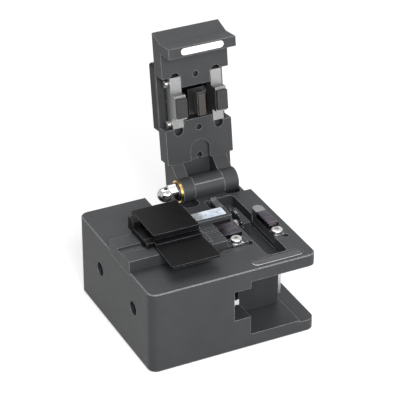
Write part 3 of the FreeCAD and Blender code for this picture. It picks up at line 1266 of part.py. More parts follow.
def anvil_guide():
    """Steel guide in the lid's window that the anvil slides through."""
    flange_half = LAND_HALF - RUN_GAP
    u0 = WINDOW_START + RUN_GAP
    u1 = WINDOW_END - RUN_GAP
    flange = lid_box(LID_CENTRE - flange_half, LID_CENTRE + flange_half, u0, u1, -PLATE_OUTER,
                     -PLATE_OUTER + GUIDE_FLANGE)
    boss = lid_box(LID_CENTRE - GUIDE_SPAN / 2, LID_CENTRE + GUIDE_SPAN / 2, CLAMP_U - GUIDE_LENGTH / 2,
                   CLAMP_U + GUIDE_LENGTH / 2, -PLATE_OUTER + GUIDE_FLANGE, -PLATE_OUTER + GUIDE_RISE)
    half = ANVIL_WIDTH / 2 + RUN_GAP
    length = ANVIL_LENGTH / 2 + RUN_GAP
    slot = lid_box(LID_CENTRE - half, LID_CENTRE + half, CLAMP_U - length, CLAMP_U + length,
                   -2 * PLATE_OUTER, 0)
    return flange.fuse(boss).cut(slot).removeSplitter()


def anvil_spring():
    return helix_spring(LID_CENTRE, HINGE_Y - CLAMP_U, HINGE_Z + ANVIL_BASE + ANVIL_HEAD,
                        spring_seat_z())


# ---------------------------------------------------------------- fibre holder
def holder_floor():
    return TOP + RAIL_TOP + HOLDER_SEAT_GAP


def holder_base():
    """Base that slides along the rail: key in the rail's groove, rear rail guide, front pull tab and a
    foot with a raised cheek at its left end."""
    left = HOLDER_LEFT
    right = HOLDER_RIGHT
    floor = holder_floor()
    top = floor + HOLDER_BASE
    base = box(left, right, HOLDER_FRONT, HOLDER_REAR, floor, top)
    foot = box(FOOT_LEFT, left, FIBRE_Y - FOOT_FRONT_REACH, HOLDER_REAR, floor, top)
    tab = prism_z([(left, HOLDER_FRONT + OVERCUT), (left - TAB_FLARE, TAB_FRONT),
                   (right + TAB_FLARE, TAB_FRONT), (right, HOLDER_FRONT + OVERCUT)],
                  floor, floor + TAB_THICKNESS)
    front_corners = edges_along(tab, Vector(0, 0, 1), lambda c: c.y < TAB_FRONT + OVERCUT)
    tab = tab.makeFillet(TAB_CORNER_R, front_corners)
    key_half = GROOVE_WIDTH / 2 - RUN_GAP
    key = box(FOOT_LEFT, right, FIBRE_Y - key_half, FIBRE_Y + key_half, floor - HOLDER_KEY_DEPTH, floor)
    rear_guide = box(FOOT_LEFT, right, RAIL_REAR + RUN_GAP, RAIL_REAR + HOLDER_RAIL_GUIDE,
                     TOP + RAIL_TOP - HOLDER_RAIL_DROP, floor)
    base = base.fuse([foot, tab, key, rear_guide, holder_cheek()])
    base = base.cut(furrow(FOOT_LEFT - OVERCUT, right + OVERCUT, FIBRE_Y, top, FIBRE_GROOVE_WIDTH,
                           FIBRE_GROOVE_DEPTH))
    for x, y in holder_magnet_places():
        base = base.cut(rod_z(top - HOLDER_MAGNET, top + OVERCUT, x, y, HOLDER_MAGNET_R + SEAT_GAP))
    for x0, x1 in barrel_spans(1):
        lug = rod_x(x0, x1, holder_pin_y(), holder_pin_z(), HOLDER_BARREL_R)
        web = box(x0, x1, HOLDER_REAR - OVERCUT, holder_pin_y(), floor, holder_pin_z())
        base = base.fuse([lug, web])
    return base.cut(rod_x(left - OVERCUT, right + OVERCUT, holder_pin_y(), holder_pin_z(),
                          HOLDER_PIN_R)).removeSplitter()


def holder_cheek():
    """Upright at the rear of the foot, beside the cover's left end."""
    floor = holder_floor()
    cheek = box(FOOT_LEFT, HOLDER_LEFT - CHEEK_GAP, HOLDER_REAR - CHEEK_LENGTH, HOLDER_REAR, floor,
                floor + CHEEK_HEIGHT)
    crown = edges_along(cheek, Vector(1, 0, 0), lambda c: c.z > floor + HOLDER_BASE)
    return cheek.makeFillet(CHEEK_CORNER_R, crown)


def holder_pin_y():
    return HOLDER_REAR + HOLDER_BARREL_R + COVER_LIFT


def holder_pin_z():
    return holder_floor() + HOLDER_BARREL_R


def barrel_spans(kind):
    """Lengths of the hinge barrels: kind 0 is the cover's outer pair, kind 1 the base's middle one."""
    left = HOLDER_LEFT + BARREL_INSET
    length = (HOLDER_LENGTH - 2 * BARREL_INSET) / HOLDER_KNUCKLES
    picks = range(kind, HOLDER_KNUCKLES, 2)
    return [(left + i * length + RUN_GAP, left + (i + 1) * length - RUN_GAP) for i in picks]


def holder_magnet_places():
    xs = (HOLDER_LEFT + HOLDER_MAGNET_INSET, HOLDER_RIGHT - HOLDER_MAGNET_INSET)
    return [(x, HOLDER_MAGNET_Y) for x in xs]


def holder_magnets():
    top = holder_floor() + HOLDER_BASE
    return [rod_z(top - HOLDER_MAGNET, top - SEAT_GAP, x, y, HOLDER_MAGNET_R)
            for x, y in holder_magnet_places()]


def holder_hinge_pin():
    left = HOLDER_LEFT + BARREL_INSET
    right = HOLDER_RIGHT - BARREL_INSET
    return rod_x(left, right, holder_pin_y(), holder_pin_z(), HOLDER_PIN_R - SHAFT_FIT)


def cover_top_z():
    return holder_floor() + COVER_TOP


def holder_cover():
    """Folded sheet over the base: flat top, short front skirt, rear wall down to the hinge."""
    left = HOLDER_LEFT
    right = HOLDER_RIGHT
    front = HOLDER_FRONT + SKIRT_SET_BACK
    top = cover_top_z()
    rear = holder_pin_y() + HOLDER_BARREL_R
    sheet = box(left, right, front, rear, top - COVER_SHEET, top)
    skirt = box(left, right, front, front + COVER_SHEET, top - SKIRT, top)
    shapes = [skirt]
    for x0, x1 in barrel_spans(0):
        shapes.append(rod_x(x0, x1, holder_pin_y(), holder_pin_z(), HOLDER_BARREL_R))
        shapes.append(box(x0, x1, rear - BARREL_WEB, rear, holder_pin_z(), top - COVER_SHEET))
    for x, y in holder_magnet_places():
        shapes.append(rod_z(holder_floor() + HOLDER_BASE + HOLDER_PAD_GAP, top - COVER_SHEET, x, y,
                            HOLDER_MAGNET_R))
    cover = sheet.fuse(shapes)
    front_corners = edges_along(cover, Vector(0, 0, 1), lambda c: c.y < front + SEAT_GAP)
    cover = cover.makeFillet(COVER_SHEET_CORNER_R, front_corners)
    return cover.cut(rod_x(left - OVERCUT, right + OVERCUT, holder_pin_y(), holder_pin_z(),
                           HOLDER_PIN_R))


def holder_pad():
    """Rubber block under the cover that holds the fibre down in the groove."""
    x = (HOLDER_LEFT + HOLDER_RIGHT) / 2
    half = HOLDER_PAD_LENGTH / 2
    return box(x - half, x + half, FIBRE_Y - HOLDER_PAD_WIDTH / 2, FIBRE_Y + HOLDER_PAD_WIDTH / 2,
               holder_floor() + HOLDER_BASE + HOLDER_PAD_GAP, cover_top_z() - COVER_SHEET)


def save(name, pieces, turn=False):
    """Write one node, moved from the front left corner to the part's own origin."""
    solids = pieces if isinstance(pieces, list) else [pieces]
    if turn:
        solids = [opened(solid) for solid in solids]
    moved = []
    for solid in solids:
        copy = solid.copy()
        copy.translate(Vector(-BODY_WIDTH / 2, -BODY_DEPTH / 2, PAD_PROUD))
        moved.append(copy)
    shape = moved[0] if len(moved) == 1 else Part.makeCompound(moved)
    shape.exportStep("parts/" + name + ".step")


FIXED_PIECES = {
    "body_frame": body_frame,
    "base_pad": base_pad,
    "fibre_rail": fibre_rail,
    "rail_screws": rail_screws,
    "scale_plate": scale_plate,
    "clamp_bar_left": clamp_bar_left,
    "clamp_bar_right": clamp_bar_right,
    "slot_strip": slot_strip,
    "lower_pad_left": lambda: lower_pad(CLAMP_XS[0], LEFT_PAD_WIDTH, left_bar_top()),
    "lower_pad_right": lambda: lower_pad(CLAMP_XS[1], RIGHT_PAD_WIDTH, TOP + RIGHT_BAR_TOP),
    "lower_clamp_screws": lower_clamp_screws,
    "catch_plate": catch_plate,
    "hinge_bushes": hinge_bushes,
    "hinge_shaft": hinge_shaft,
    "dome_nut": dome_nut,
    "spring_washer": spring_washer,
    "brass_washer": brass_washer,
    "guide_rail": guide_rail,
    "guide_rail_screws": guide_rail_screws,
    "rear_bumper": rear_bumper,
    "slider_stop_pin": slider_stop_pin,
    "slider_block": slider_block,
    "guide_carriage": guide_carriage,
    "carriage_screws": carriage_screws,
    "slider_side_plate": slider_side_plate,
    "side_plate_screws": side_plate_screws,
    "blade_wheel": blade_wheel,
    "blade_screw": blade_screw,
    "holder_base": holder_base,
    "holder_magnets": holder_magnets,
    "holder_hinge_pin": holder_hinge_pin,
    "holder_cover": holder_cover,
    "holder_pad": holder_pad,
}

LID_PIECES = {
    "lid_frame": lid_frame,
    "lid_magnet_bar": lid_magnet_bar,
    "lid_rear_cover": lid_rear_cover,
    "lid_cover_screws": lid_cover_screws,
    "clamp_spindles": clamp_spindles,
    "clamp_bracket_left": lambda: clamp_bracket(CLAMP_XS[0]),
    "clamp_bracket_right": lambda: clamp_bracket(CLAMP_XS[1]),
    "clamp_rubber_left": lambda: clamp_rubber(CLAMP_XS[0]),
    "clamp_rubber_right": lambda: clamp_rubber(CLAMP_XS[1]),
    "clamp_spring_left": lambda: clamp_spring(CLAMP_XS[0]),
    "clamp_spring_right": lambda: clamp_spring(CLAMP_XS[1]),
    "anvil_block": anvil_block,
    "anvil_pad": anvil_pad,
    "anvil_guide": anvil_guide,
    "anvil_spring": anvil_spring,
}

os.makedirs("parts", exist_ok=True)
for node, make in FIXED_PIECES.items():
    save(node, make())
for node, make in LID_PIECES.items():
    save(node, make(), turn=True)
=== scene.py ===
"""Looks of the fibre cleaver: materials for its CAD nodes, the scale's marks, springs and the studio.

MM turns mm into metres. Places of pieces come from the frame's own boxes, joints and meshes.
"""
import json
import math

import bmesh
import bpy
from mathutils import Matrix, Vector

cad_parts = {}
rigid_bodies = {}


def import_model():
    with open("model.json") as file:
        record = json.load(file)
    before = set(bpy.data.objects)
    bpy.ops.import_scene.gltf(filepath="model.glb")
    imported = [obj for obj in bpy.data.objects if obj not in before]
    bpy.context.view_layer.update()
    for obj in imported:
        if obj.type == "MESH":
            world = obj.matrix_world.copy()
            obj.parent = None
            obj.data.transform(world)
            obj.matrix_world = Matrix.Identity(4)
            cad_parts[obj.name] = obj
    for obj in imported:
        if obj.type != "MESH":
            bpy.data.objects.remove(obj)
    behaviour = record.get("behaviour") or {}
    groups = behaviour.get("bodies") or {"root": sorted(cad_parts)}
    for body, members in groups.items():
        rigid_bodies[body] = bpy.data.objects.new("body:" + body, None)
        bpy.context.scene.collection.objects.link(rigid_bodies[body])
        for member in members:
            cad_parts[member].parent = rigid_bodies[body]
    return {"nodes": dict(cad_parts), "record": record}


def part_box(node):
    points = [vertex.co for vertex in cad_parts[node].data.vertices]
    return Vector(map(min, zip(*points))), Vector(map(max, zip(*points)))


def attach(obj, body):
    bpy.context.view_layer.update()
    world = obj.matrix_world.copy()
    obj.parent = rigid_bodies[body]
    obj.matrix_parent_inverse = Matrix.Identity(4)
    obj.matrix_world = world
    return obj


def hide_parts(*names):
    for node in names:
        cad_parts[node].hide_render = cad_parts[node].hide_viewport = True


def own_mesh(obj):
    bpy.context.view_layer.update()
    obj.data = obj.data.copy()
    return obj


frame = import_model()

MM = 0.001

# Materials: lengths and heights in mm
ROOM_REACH = 1.2
ANODISED_EDGE = 0.42
STEEL_EDGE = 0.12
RIM_EDGE = 0.5
# Painted highlight on the upper chamfer faces: the height where it starts, and its fade
CHAMFER_FLOOR = 28.0
CHAMFER_FADE = 0.1
# Painted shadow of the fibre holder on the scale plate: where it ends along x, its fade and its wander, in
# mm
PAINTED_SHADE_END = 4.0
PAINTED_SHADE_FADE = 0.9
PAINTED_SHADE_WANDER = 0.8

# Materials: plain numbers, where a START is the level at which an effect sets in
PLASTIC_IOR = 1.5
RAY_SAMPLES = 6
NOISE_LOW = 0.3
NOISE_HIGH = 0.7
EDGE_START = 0.03
EDGE_FULL = 0.25
ROOM_START = 0.72
ROOM_FULL = 0.95
HALFWAY = math.sqrt(0.5)
# Painted highlight on the upper chamfer faces: how far a face may lean from halfway, and its strength
CHAMFER_START = 0.06
CHAMFER_FULL = 0.03
CHAMFER_SHINE = 0.4
RIM_START = 0.98
RIM_FULL = 0.9


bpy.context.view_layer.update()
nodes = frame["nodes"]


# ---------------------------------------------------------------- shader helper
class Shader:
    """One procedural material. Its texture coordinates are the object's own, in mm."""

    def __init__(self, name, **sockets):
        self.mat = bpy.data.materials.new(name)
        self.mat.use_nodes = True
        self.tree = self.mat.node_tree
        self.tree.nodes.clear()
        self.surface = self.node("BsdfPrincipled", **sockets)
        out = self.node("OutputMaterial")
        self.join(self.surface.outputs[0], out, "Surface")
        self.coords = self.node("TexCoord")
        self.place = self.node("Mapping", Scale=(1 / MM, 1 / MM, 1 / MM))
        self.join(self.coords.outputs["Object"], self.place, "Vector")

    def node(self, kind, **sockets):
        made = self.tree.nodes.new("ShaderNode" + kind)
        for key, value in sockets.items():
            made.inputs[key.replace("_", " ")].default_value = value
        return made

    def join(self, source, target, socket):
        self.tree.links.new(source, target.inputs[socket])

    def axis(self, vector, letter):
        """One axis of a vector output, by its letter."""
        made = self.node("SeparateXYZ")
        self.join(vector, made, "Vector")
        return made.outputs[letter]

    def noise(self, scale, detail, roughness=0.5, stretch=None):
        """Noise with about so many cells to the mm; stretch scales the axes first."""
        made = self.node("TexNoise", Scale=scale, Detail=detail, Roughness=roughness)
        source = self.place.outputs[0]
        if stretch:
            squeeze = self.node("Mapping", Scale=stretch)
            self.join(source, squeeze, "Vector")
            source = squeeze.outputs[0]
        self.join(source, made, "Vector")
        return made.outputs["Fac"]

    def span(self, value, from_low, from_high, to_low, to_high):
        made = self.node("MapRange", From_Min=from_low, From_Max=from_high,
                         To_Min=to_low, To_Max=to_high)
        self.join(value, made, "Value")
        return made.outputs["Result"]

    def math(self, operation, first, second):
        made = self.node("Math")
        made.operation = operation
        for index, value in enumerate((first, second)):
            if isinstance(value, (int, float)):
                made.inputs[index].default_value = value
            else:
                self.join(value, made, index)
        return made.outputs[0]

    def blend(self, factor, first, second):
        """Colour between two colours or colour outputs."""
        made = self.node("Mix")
        made.data_type = "RGBA"
        self.join(factor, made, 0)
        for index, value in ((6, first), (7, second)):
            if isinstance(value, tuple):
                made.inputs[index].default_value = value + (1.0,)
            else:
                self.join(value, made, index)
        return made.outputs[2]

    def bump(self, height, depth, strength, normal):
        """Normal bent by a height whose full range is so many mm."""
        made = self.node("Bump", Strength=strength, Distance=depth * MM)
        self.join(height, made, "Height")
        self.join(normal, made, "Normal")
        return made.outputs[0]

    def rounded(self, radius):
        """Normal of the surface with its edges rounded to a radius in mm."""
        made = self.node("Bevel", Radius=radius * MM)
        made.samples = RAY_SAMPLES
        return made.outputs[0]

    def outer_edges(self, radius):
        """1 on the outer edges of the mesh, 0 on its faces and in its inner corners."""
        facing = self.node("VectorMath")
        facing.operation = "DOT_PRODUCT"
        self.join(self.rounded(radius), facing, 0)
        self.join(self.node("NewGeometry").outputs["True Normal"], facing, 1)
        bend = self.math("SUBTRACT", 1.0, facing.outputs["Value"])
        edges = self.span(bend, EDGE_START, EDGE_FULL, 0.0, 1.0)
        room = self.node("AmbientOcclusion", Distance=ROOM_REACH * MM)
        room.samples = RAY_SAMPLES
        return self.math("MULTIPLY", edges, self.span(room.outputs["AO"], ROOM_START, ROOM_FULL, 0.0, 1.0))

    def painted_chamfer_highlight(self):
        """Painted highlight on the upper faces that lean halfway between upright and level, 0 elsewhere.
        """
        lean = self.math("SUBTRACT", self.axis(self.coords.outputs["Normal"], "Z"), HALFWAY)
        leaning = self.span(self.math("ABSOLUTE", lean, 0.0), CHAMFER_FULL, CHAMFER_START, 1.0, 0.0)
        height = self.axis(self.place.outputs[0], "Z")
        upper = self.span(height, CHAMFER_FLOOR, CHAMFER_FLOOR + CHAMFER_FADE, 0.0, CHAMFER_SHINE)
        return self.math("MULTIPLY", leaning, upper)


# ---------------------------------------------------------------- finishes
def anodised(name, dark, light, edge, roughness, wear_and_highlight, grain, gloss, paint_chamfer_highlight=False):
    """Bead blasted and anodised aluminium whose rubbed edges show paler metal; if asked, its upper chamfer
    faces also get a painted highlight in that pale colour.
    """
    made = Shader(name, IOR=PLASTIC_IOR, Specular_IOR_Level=gloss)
    cloud = made.noise(0.09, 3.0, 0.6)
    speck = made.noise(6.0, 3.0, 0.65)
    tone = made.blend(made.span(cloud, NOISE_LOW, NOISE_HIGH, 0.0, 1.0), dark, light)
    tone = made.blend(made.span(speck, 0.62, 0.8, 0.0, 0.35), tone, tuple(2.2 * c for c in light))
    edges = made.outer_edges(ANODISED_EDGE)
    # Painted highlight: the upper chamfer faces join the rubbed edges and take their pale colour
    if paint_chamfer_highlight:
        edges = made.math("MAXIMUM", edges, made.painted_chamfer_highlight())
    rubbed = made.span(made.noise(0.7, 4.0, 0.7), 0.28, 0.62, 0.35, 1.0)
    pale_edges_and_highlight = made.math("MULTIPLY", made.math("MULTIPLY", edges, rubbed), wear_and_highlight)
    made.join(made.blend(pale_edges_and_highlight, tone, edge), made.surface, "Base Color")
    sheen = made.span(made.noise(1.3, 3.0), NOISE_LOW, NOISE_HIGH, roughness - 0.05, roughness + 0.06)
    made.join(sheen, made.surface, "Roughness")
    height = made.math("ADD", made.noise(11.0, 2.0), made.math("MULTIPLY", made.noise(3.5, 2.0), 0.6))
    made.join(made.bump(height, grain, 0.8, made.rounded(0.12)), made.surface, "Normal")
    return made.mat


def worked_steel(name, colour, roughness, lines=None, scratch=0.1, edge=(0.75, 0.75, 0.76), grain=0.004):
    """Bare metal: ground along one axis when lines are given, else blasted or turned."""
    made = Shader(name, Metallic=1.0)
    cloud = made.noise(0.4, 3.0, 0.6)
    tone = tuple(0.86 * c for c in colour)
    tone = made.blend(made.span(cloud, NOISE_LOW, NOISE_HIGH, 0.0, 1.0), tone, colour)
    streak = made.noise(5.0, 3.0, 0.7, lines) if lines else made.noise(9.0, 3.0, 0.6)
    darkening = made.span(streak, 0.35, 0.75, 0.0, 2.0 * scratch)
    tone = made.blend(darkening, tone, tuple(0.5 * c for c in colour))
    made.join(made.blend(made.outer_edges(STEEL_EDGE), tone, edge), made.surface, "Base Color")
    sheen = made.span(streak, NOISE_LOW, NOISE_HIGH, roughness - scratch, roughness + scratch)
    made.join(sheen, made.surface, "Roughness")
    made.join(made.bump(streak, grain, 0.7, made.rounded(0.08)), made.surface, "Normal")
    return made.mat


def polished(name, colour, roughness, tint):
    """Polished metal with a breath of colour, darker bands and fine hairlines."""
    made = Shader(name, Metallic=1.0)
    cloud = made.span(made.noise(0.25, 2.0), 0.35, 0.65, 0.0, 1.0)
    band = made.span(made.noise(1.1, 2.0, 0.5, (0.08, 1.0, 1.0)), 0.42, 0.62, 0.0, 0.6)
    tone = made.blend(band, made.blend(cloud, colour, tint), tuple(0.35 * c for c in colour))
    made.join(tone, made.surface, "Base Color")
    hair = made.noise(14.0, 3.0, 0.8, (0.06, 1.0, 1.0))
    made.join(made.span(hair, 0.55, 0.8, roughness, roughness + 0.14), made.surface, "Roughness")
    made.join(made.bump(hair, 0.0015, 0.5, made.rounded(0.12)), made.surface, "Normal")
    return made.mat


def moulded_rubber(name, dark, light, roughness):
    """Matt rubber with a fine even grain and a little dust."""
    made = Shader(name, IOR=PLASTIC_IOR)
    dust = made.span(made.noise(2.2, 4.0, 0.7), 0.5, 0.8, 0.0, 1.0)
    made.join(made.blend(dust, dark, light), made.surface, "Base Color")
    made.join(made.span(dust, 0.0, 1.0, roughness, roughness + 0.1), made.surface, "Roughness")
    made.join(made.bump(made.noise(12.0, 2.0), 0.02, 0.6, made.rounded(0.1)), made.surface, "Normal")
    return made.mat


def printed_plate(name):
    """Pale enamelled plate, faintly blue, with fine handling marks and a painted shadow of the fibre
    holder that greys its left end.
    """
    made = Shader(name, IOR=PLASTIC_IOR, Coat_Weight=0.5, Coat_Roughness=0.08)
    cloud = made.span(made.noise(0.5, 3.0), 0.35, 0.65, 0.0, 1.0)
    # Painted shadow of the fibre holder: the plate turns grey towards its left end, along an edge that
    # wanders with noise
    wander = made.span(made.noise(0.9, 3.0), NOISE_LOW, NOISE_HIGH, -PAINTED_SHADE_WANDER, PAINTED_SHADE_WANDER)
    along = made.math("ADD", made.axis(made.place.outputs[0], "X"), wander)
    darkening = made.span(along, PAINTED_SHADE_END - PAINTED_SHADE_FADE, PAINTED_SHADE_END + PAINTED_SHADE_FADE, 1.0, 0.0)
    tone = made.blend(cloud, (0.5, 0.58, 0.68), (0.74, 0.79, 0.86))
    made.join(made.blend(darkening, tone, (0.3, 0.31, 0.33)), made.surface, "Base Color")
    scuff = made.noise(6.0, 4.0, 0.7, (1.0, 0.2, 1.0))
    made.join(made.span(scuff, 0.4, 0.7, 0.22, 0.4), made.surface, "Roughness")
    made.join(made.bump(scuff, 0.002, 0.4, made.rounded(0.06)), made.surface, "Normal")
    return made.mat


def rimmed(name, face, rim, roughness):
    """Dark plate whose chamfer and sides, turned away from its face, show bright metal."""
    made = Shader(name, Metallic=1.0)
    flat = made.span(made.axis(made.coords.outputs["Normal"], "Z"), RIM_FULL, RIM_START, 0.0, 1.0)
    bright = made.math("MAXIMUM", made.math("SUBTRACT", 1.0, flat), made.outer_edges(RIM_EDGE))
    made.join(made.blend(bright, face, rim), made.surface, "Base Color")
    streak = made.noise(5.0, 3.0, 0.7, (0.1, 1.0, 1.0))
    sheen = made.span(streak, NOISE_LOW, NOISE_HIGH, roughness - 0.06, roughness + 0.06)
    made.join(sheen, made.surface, "Roughness")
    made.join(made.bump(streak, 0.004, 0.6, made.rounded(0.1)), made.surface, "Normal")
    return made.mat


BLACK = {
    "dark": (0.022, 0.0235, 0.0255),
    "light": (0.029, 0.0305, 0.033),
    "edge": (0.42, 0.43, 0.44),
    "roughness": 0.54,
    "wear_and_highlight": 0.9,
    "grain": 0.012,
    "gloss": 0.38,
}
FINISHES = {
    "black_anodised": anodised("black_anodised", **BLACK),
    "holder_black": anodised("holder_black", (0.0035, 0.0036, 0.0041), (0.0052, 0.0053, 0.0059),
                             (0.2, 0.2, 0.21), roughness=0.4, wear_and_highlight=0.8, grain=0.005, gloss=0.1),
    "slider_grey": anodised("slider_grey", (0.018, 0.019, 0.021), (0.026, 0.027, 0.029),
                            (0.25, 0.25, 0.26), roughness=0.5, wear_and_highlight=0.7, grain=0.012, gloss=0.28),
    "strip_metal": worked_steel("strip_metal", (0.27, 0.27, 0.28), 0.42, (1.0, 0.1, 1.0), 0.08,
                                (0.6, 0.6, 0.6)),
    "dark_steel": worked_steel("dark_steel", (0.035, 0.035, 0.037), 0.34, None, 0.08, (0.45, 0.45, 0.45)),
    "ground_steel": worked_steel("ground_steel", (0.62, 0.62, 0.63), 0.3, (1.0, 0.05, 1.0)),
    "blasted_steel": worked_steel("blasted_steel", (0.29, 0.29, 0.29), 0.45, None, 0.08,
                                  (0.85, 0.85, 0.85), 0.012),
    "polished_steel": polished("polished_steel", (0.07, 0.068, 0.1), 0.16, (0.16, 0.13, 0.13)),
    "bright_nut": polished("bright_nut", (0.62, 0.62, 0.62), 0.14, (0.54, 0.54, 0.55)),
    "screw_steel": worked_steel("screw_steel", (0.62, 0.62, 0.61), 0.28, None, 0.08),
    "dark_screw": worked_steel("dark_screw", (0.1, 0.1, 0.105), 0.4, None, 0.08, (0.3, 0.3, 0.3)),
    "spring_wire": worked_steel("spring_wire", (0.55, 0.55, 0.54), 0.3, None, 0.08),
    "brass": worked_steel("brass", (0.78, 0.52, 0.17), 0.26, None, 0.08, (0.95, 0.72, 0.34)),
    "bronze": worked_steel("bronze", (0.5, 0.31, 0.15), 0.45, None, 0.1, (0.7, 0.5, 0.3)),
    "blade_carbide": worked_steel("blade_carbide", (0.58, 0.58, 0.6), 0.22, (1.0, 0.2, 1.0), 0.06),
    "magnet_plate": worked_steel("magnet_plate", (0.93, 0.93, 0.93), 0.34, (0.08, 1.0, 1.0), 0.06),
    "clamp_rubber": moulded_rubber("clamp_rubber", (0.012, 0.012, 0.013), (0.04, 0.04, 0.04), 0.55),
    "anvil_rubber": moulded_rubber("anvil_rubber", (0.026, 0.02, 0.018), (0.055, 0.043, 0.036), 0.5),
    "foot_rubber": moulded_rubber("foot_rubber", (0.02, 0.02, 0.02), (0.05, 0.05, 0.05), 0.7),
    "scale_white": printed_plate("scale_white"),
}

OWN_FINISHES = {
    # The body's upper chamfer faces get a painted highlight
    "body_frame": anodised("body_anodised", **BLACK, paint_chamfer_highlight=True),
    "anvil_block": worked_steel("anvil_steel", (0.5, 0.5, 0.5), 0.3, None, 0.06, (0.95, 0.95, 0.95)),
    "catch_plate": rimmed("catch_steel", (0.1, 0.1, 0.105), (0.75, 0.75, 0.76), 0.3),
}

for part in frame["record"]["subparts"]:
    target = nodes[part["node"]]
    target.data.materials.clear()
    target.data.materials.append(OWN_FINISHES.get(part["node"], FINISHES[part["material_slot"]]))


# ---------------------------------------------------------------- marks on the scale plate
def ink():
    """Dark printed ink, rubbed thin in places."""
    made = Shader("scale_ink", IOR=PLASTIC_IOR)
    fade = made.span(made.noise(9.0, 3.0), 0.4, 0.75, 0.0, 0.6)
    made.join(made.blend(fade, (0.03, 0.035, 0.05), (0.1, 0.11, 0.14)), made.surface, "Base Color")
    made.join(made.span(fade, 0.0, 0.6, 0.35, 0.55), made.surface, "Roughness")
    return made.mat


TICK_PITCH = 1.0 * MM
TICK_WIDTH = 0.12 * MM
TICK_RISE = 0.015 * MM
TICK_SHORT = 0.8 * MM
TICK_LONG = 1.3 * MM
TICK_LONG_EVERY = 5
NUMBER_SIZE = 1.35 * MM
NUMBER_GAP = 0.15 * MM
FIRST_NUMBER = 10
SCALE_EDGE = 0.2 * MM
INK = ink()


def add_box(mesh, low, high):
    """Adds a box between two corners to a bmesh."""
    size = Vector(high) - Vector(low)
    middle = (Vector(high) + Vector(low)) / 2
    place = Matrix.Translation(middle) @ Matrix.Diagonal(size.to_4d())
    bmesh.ops.create_cube(mesh, size=1.0, matrix=place)


def piece(name, mesh, material):
    """A new object made from a bmesh, which is freed."""
    data = bpy.data.meshes.new(name)
    mesh.to_mesh(data)
    mesh.free()
    data.materials.append(material)
    made = bpy.data.objects.new(name, data)
    bpy.context.collection.objects.link(made)
    return made


def scale_marks():
    """Ticks each mm along the scale plate's front edge, and a number at each long one."""
    low, high = (Vector(corner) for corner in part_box("scale_plate"))
    ticks = bmesh.new()
    count = int((high.x - low.x - 2 * SCALE_EDGE) / TICK_PITCH)
    start = (low.x + high.x - count * TICK_PITCH) / 2
    front = low.y + SCALE_EDGE
    for index in range(count + 1):
        length = TICK_SHORT if index % TICK_LONG_EVERY else TICK_LONG
        x = start + index * TICK_PITCH
        add_box(ticks, (x - TICK_WIDTH / 2, front, high.z - TICK_RISE),
                (x + TICK_WIDTH / 2, front + length, high.z + TICK_RISE))
    made = piece("scale_ticks", ticks, INK)
    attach(made, "base")
    for index in range(0, count + 1, TICK_LONG_EVERY):
        curve = bpy.data.curves.new("scale_number_%d" % index, "FONT")
        curve.body = str(FIRST_NUMBER + index)
        curve.size = NUMBER_SIZE
        curve.align_x = "CENTER"
        curve.extrude = TICK_RISE
        number = bpy.data.objects.new(curve.name, curve)
        number.location = (start + index * TICK_PITCH, front + TICK_LONG + NUMBER_GAP, high.z)
        curve.materials.append(INK)
        bpy.context.collection.objects.link(number)
        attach(number, "base")


scale_marks()


# ---------------------------------------------------------------- spring copies on their joints' parent bodies
def press_spring(node, joint):
    """A copy of a coil spring, fixed to its joint's parent body, in place of the hidden CAD spring."""
    source = nodes[node]
    made = bpy.data.objects.new(node + "_pressed", source.data.copy())
    made.matrix_world = source.matrix_world
    bpy.context.collection.objects.link(made)
    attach(made, joint["parent"])
    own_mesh(made)
    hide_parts(node)


for moved in frame["record"]["behaviour"]["joints"]:
    for entry in moved.get("deforming_nodes", ()):
        press_spring(entry["node"], moved)


# ---------------------------------------------------------------- studio
# The camera looks from DISTANCE at AIM, which AIM_RIGHT and AIM_UP move over the picture, all in mm.
AIM = (0.0, -1.5, 30.4)
AIM_RIGHT = 0.9
AIM_UP = 18.5
AZIMUTH = math.radians(26.12)
ELEVATION = math.radians(30.30)
DISTANCE = 788.0
FOCAL_PIXELS = 1977.0
IMAGE_PIXELS = 400.0
SENSOR = 36.0
# In metres
CLIP_NEAR = 0.05
CLIP_FAR = 30.0
FLOOR_HALF = 4.0
LAMP_AIM = Vector((0.0, 0.0, 0.035))
# Levels and colours
FLOOR_GLOW = 0.5
FLOOR_COLOUR = (0.6, 0.6, 0.6, 1.0)
SKY_SEEN = 1.0
SKY_LIGHT = 0.22
SKY_COLOUR = (1.0, 1.0, 1.0, 1.0)
# name: (place in m, side in m, power in W)
LAMPS = {
    "key": ((-0.1, -0.5, 0.4), 0.3, 4.4),
    "top": ((0.0, 0.3, 0.9), 0.8, 4.5),
    "fill": ((0.4, -0.6, 0.2), 0.4, 1.6),
}


def set_camera():
    """The camera at the photograph's angle, with a square frame."""
    right = Vector((math.cos(AZIMUTH), -math.sin(AZIMUTH), 0.0))
    level = math.cos(ELEVATION)
    ahead = Vector((math.sin(AZIMUTH) * level, math.cos(AZIMUTH) * level, -math.sin(ELEVATION)))
    up = right.cross(ahead)
    target = Vector(AIM) + AIM_RIGHT * right + AIM_UP * up
    place = (target - DISTANCE * ahead) * MM
    data = bpy.data.cameras.new("camera")
    data.sensor_width = SENSOR
    data.lens = FOCAL_PIXELS / IMAGE_PIXELS * SENSOR
    data.clip_start = CLIP_NEAR
    data.clip_end = CLIP_FAR
    made = bpy.data.objects.new("camera", data)
    turn = Matrix((right, up, -ahead)).transposed().to_4x4()
    made.matrix_world = Matrix.Translation(place) @ turn
    bpy.context.collection.objects.link(made)
    bpy.context.scene.camera = made


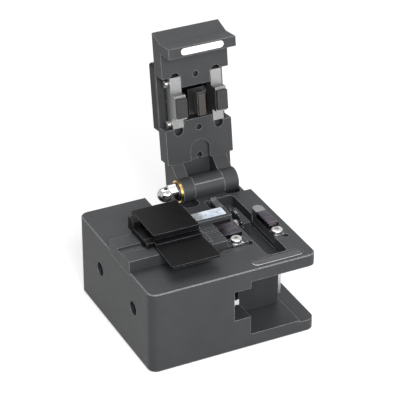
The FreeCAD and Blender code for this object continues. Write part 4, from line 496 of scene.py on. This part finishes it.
def by_ray(tree, seen, lighting):
    """One value for rays from the camera, mirrors and glass, and one for the rays that light."""
    rays = tree.nodes.new("ShaderNodeLightPath")
    value = rays.outputs["Is Camera Ray"]
    for name in ("Is Glossy Ray", "Is Transmission Ray"):
        either = tree.nodes.new("ShaderNodeMath")
        either.operation = "MAXIMUM"
        tree.links.new(value, either.inputs[0])
        tree.links.new(rays.outputs[name], either.inputs[1])
        value = either.outputs[0]
    pick = tree.nodes.new("ShaderNodeMapRange")
    tree.links.new(value, pick.inputs["Value"])
    pick.inputs["To Min"].default_value = lighting
    pick.inputs["To Max"].default_value = seen
    return pick.outputs["Result"]


def set_floor():
    """A pale floor that takes the object's shadow."""
    mesh = bmesh.new()
    corners = ((-1, -1), (1, -1), (1, 1), (-1, 1))
    mesh.faces.new([mesh.verts.new((x * FLOOR_HALF, y * FLOOR_HALF, 0.0)) for x, y in corners])
    mat = bpy.data.materials.new("floor_white")
    mat.use_nodes = True
    tree = mat.node_tree
    tree.nodes.clear()
    out = tree.nodes.new("ShaderNodeOutputMaterial")
    matt = tree.nodes.new("ShaderNodeBsdfDiffuse")
    matt.inputs["Color"].default_value = FLOOR_COLOUR
    glow = tree.nodes.new("ShaderNodeEmission")
    tree.links.new(by_ray(tree, FLOOR_GLOW, 0.0), glow.inputs["Strength"])
    both = tree.nodes.new("ShaderNodeAddShader")
    tree.links.new(matt.outputs[0], both.inputs[0])
    tree.links.new(glow.outputs[0], both.inputs[1])
    tree.links.new(both.outputs[0], out.inputs["Surface"])
    piece("floor", mesh, mat)


def set_world():
    """An even white surround that lights the object gently."""
    world = bpy.data.worlds.new("studio")
    bpy.context.scene.world = world
    world.use_nodes = True
    tree = world.node_tree
    tree.nodes.clear()
    out = tree.nodes.new("ShaderNodeOutputWorld")
    sky = tree.nodes.new("ShaderNodeBackground")
    sky.inputs["Color"].default_value = SKY_COLOUR
    tree.links.new(by_ray(tree, SKY_SEEN, SKY_LIGHT), sky.inputs["Strength"])
    tree.links.new(sky.outputs[0], out.inputs["Surface"])


def set_lamps():
    """Square soft lamps that face the middle of the object."""
    for name, (place, size, power) in LAMPS.items():
        data = bpy.data.lights.new(name, "AREA")
        data.size = size
        data.energy = power
        lamp = bpy.data.objects.new(name, data)
        lamp.location = place
        lamp.rotation_euler = (LAMP_AIM - Vector(place)).to_track_quat("-Z", "Y").to_euler()
        bpy.context.collection.objects.link(lamp)


set_camera()
set_floor()
set_world()
set_lamps()
bpy.context.scene.view_settings.view_transform = "Standard"
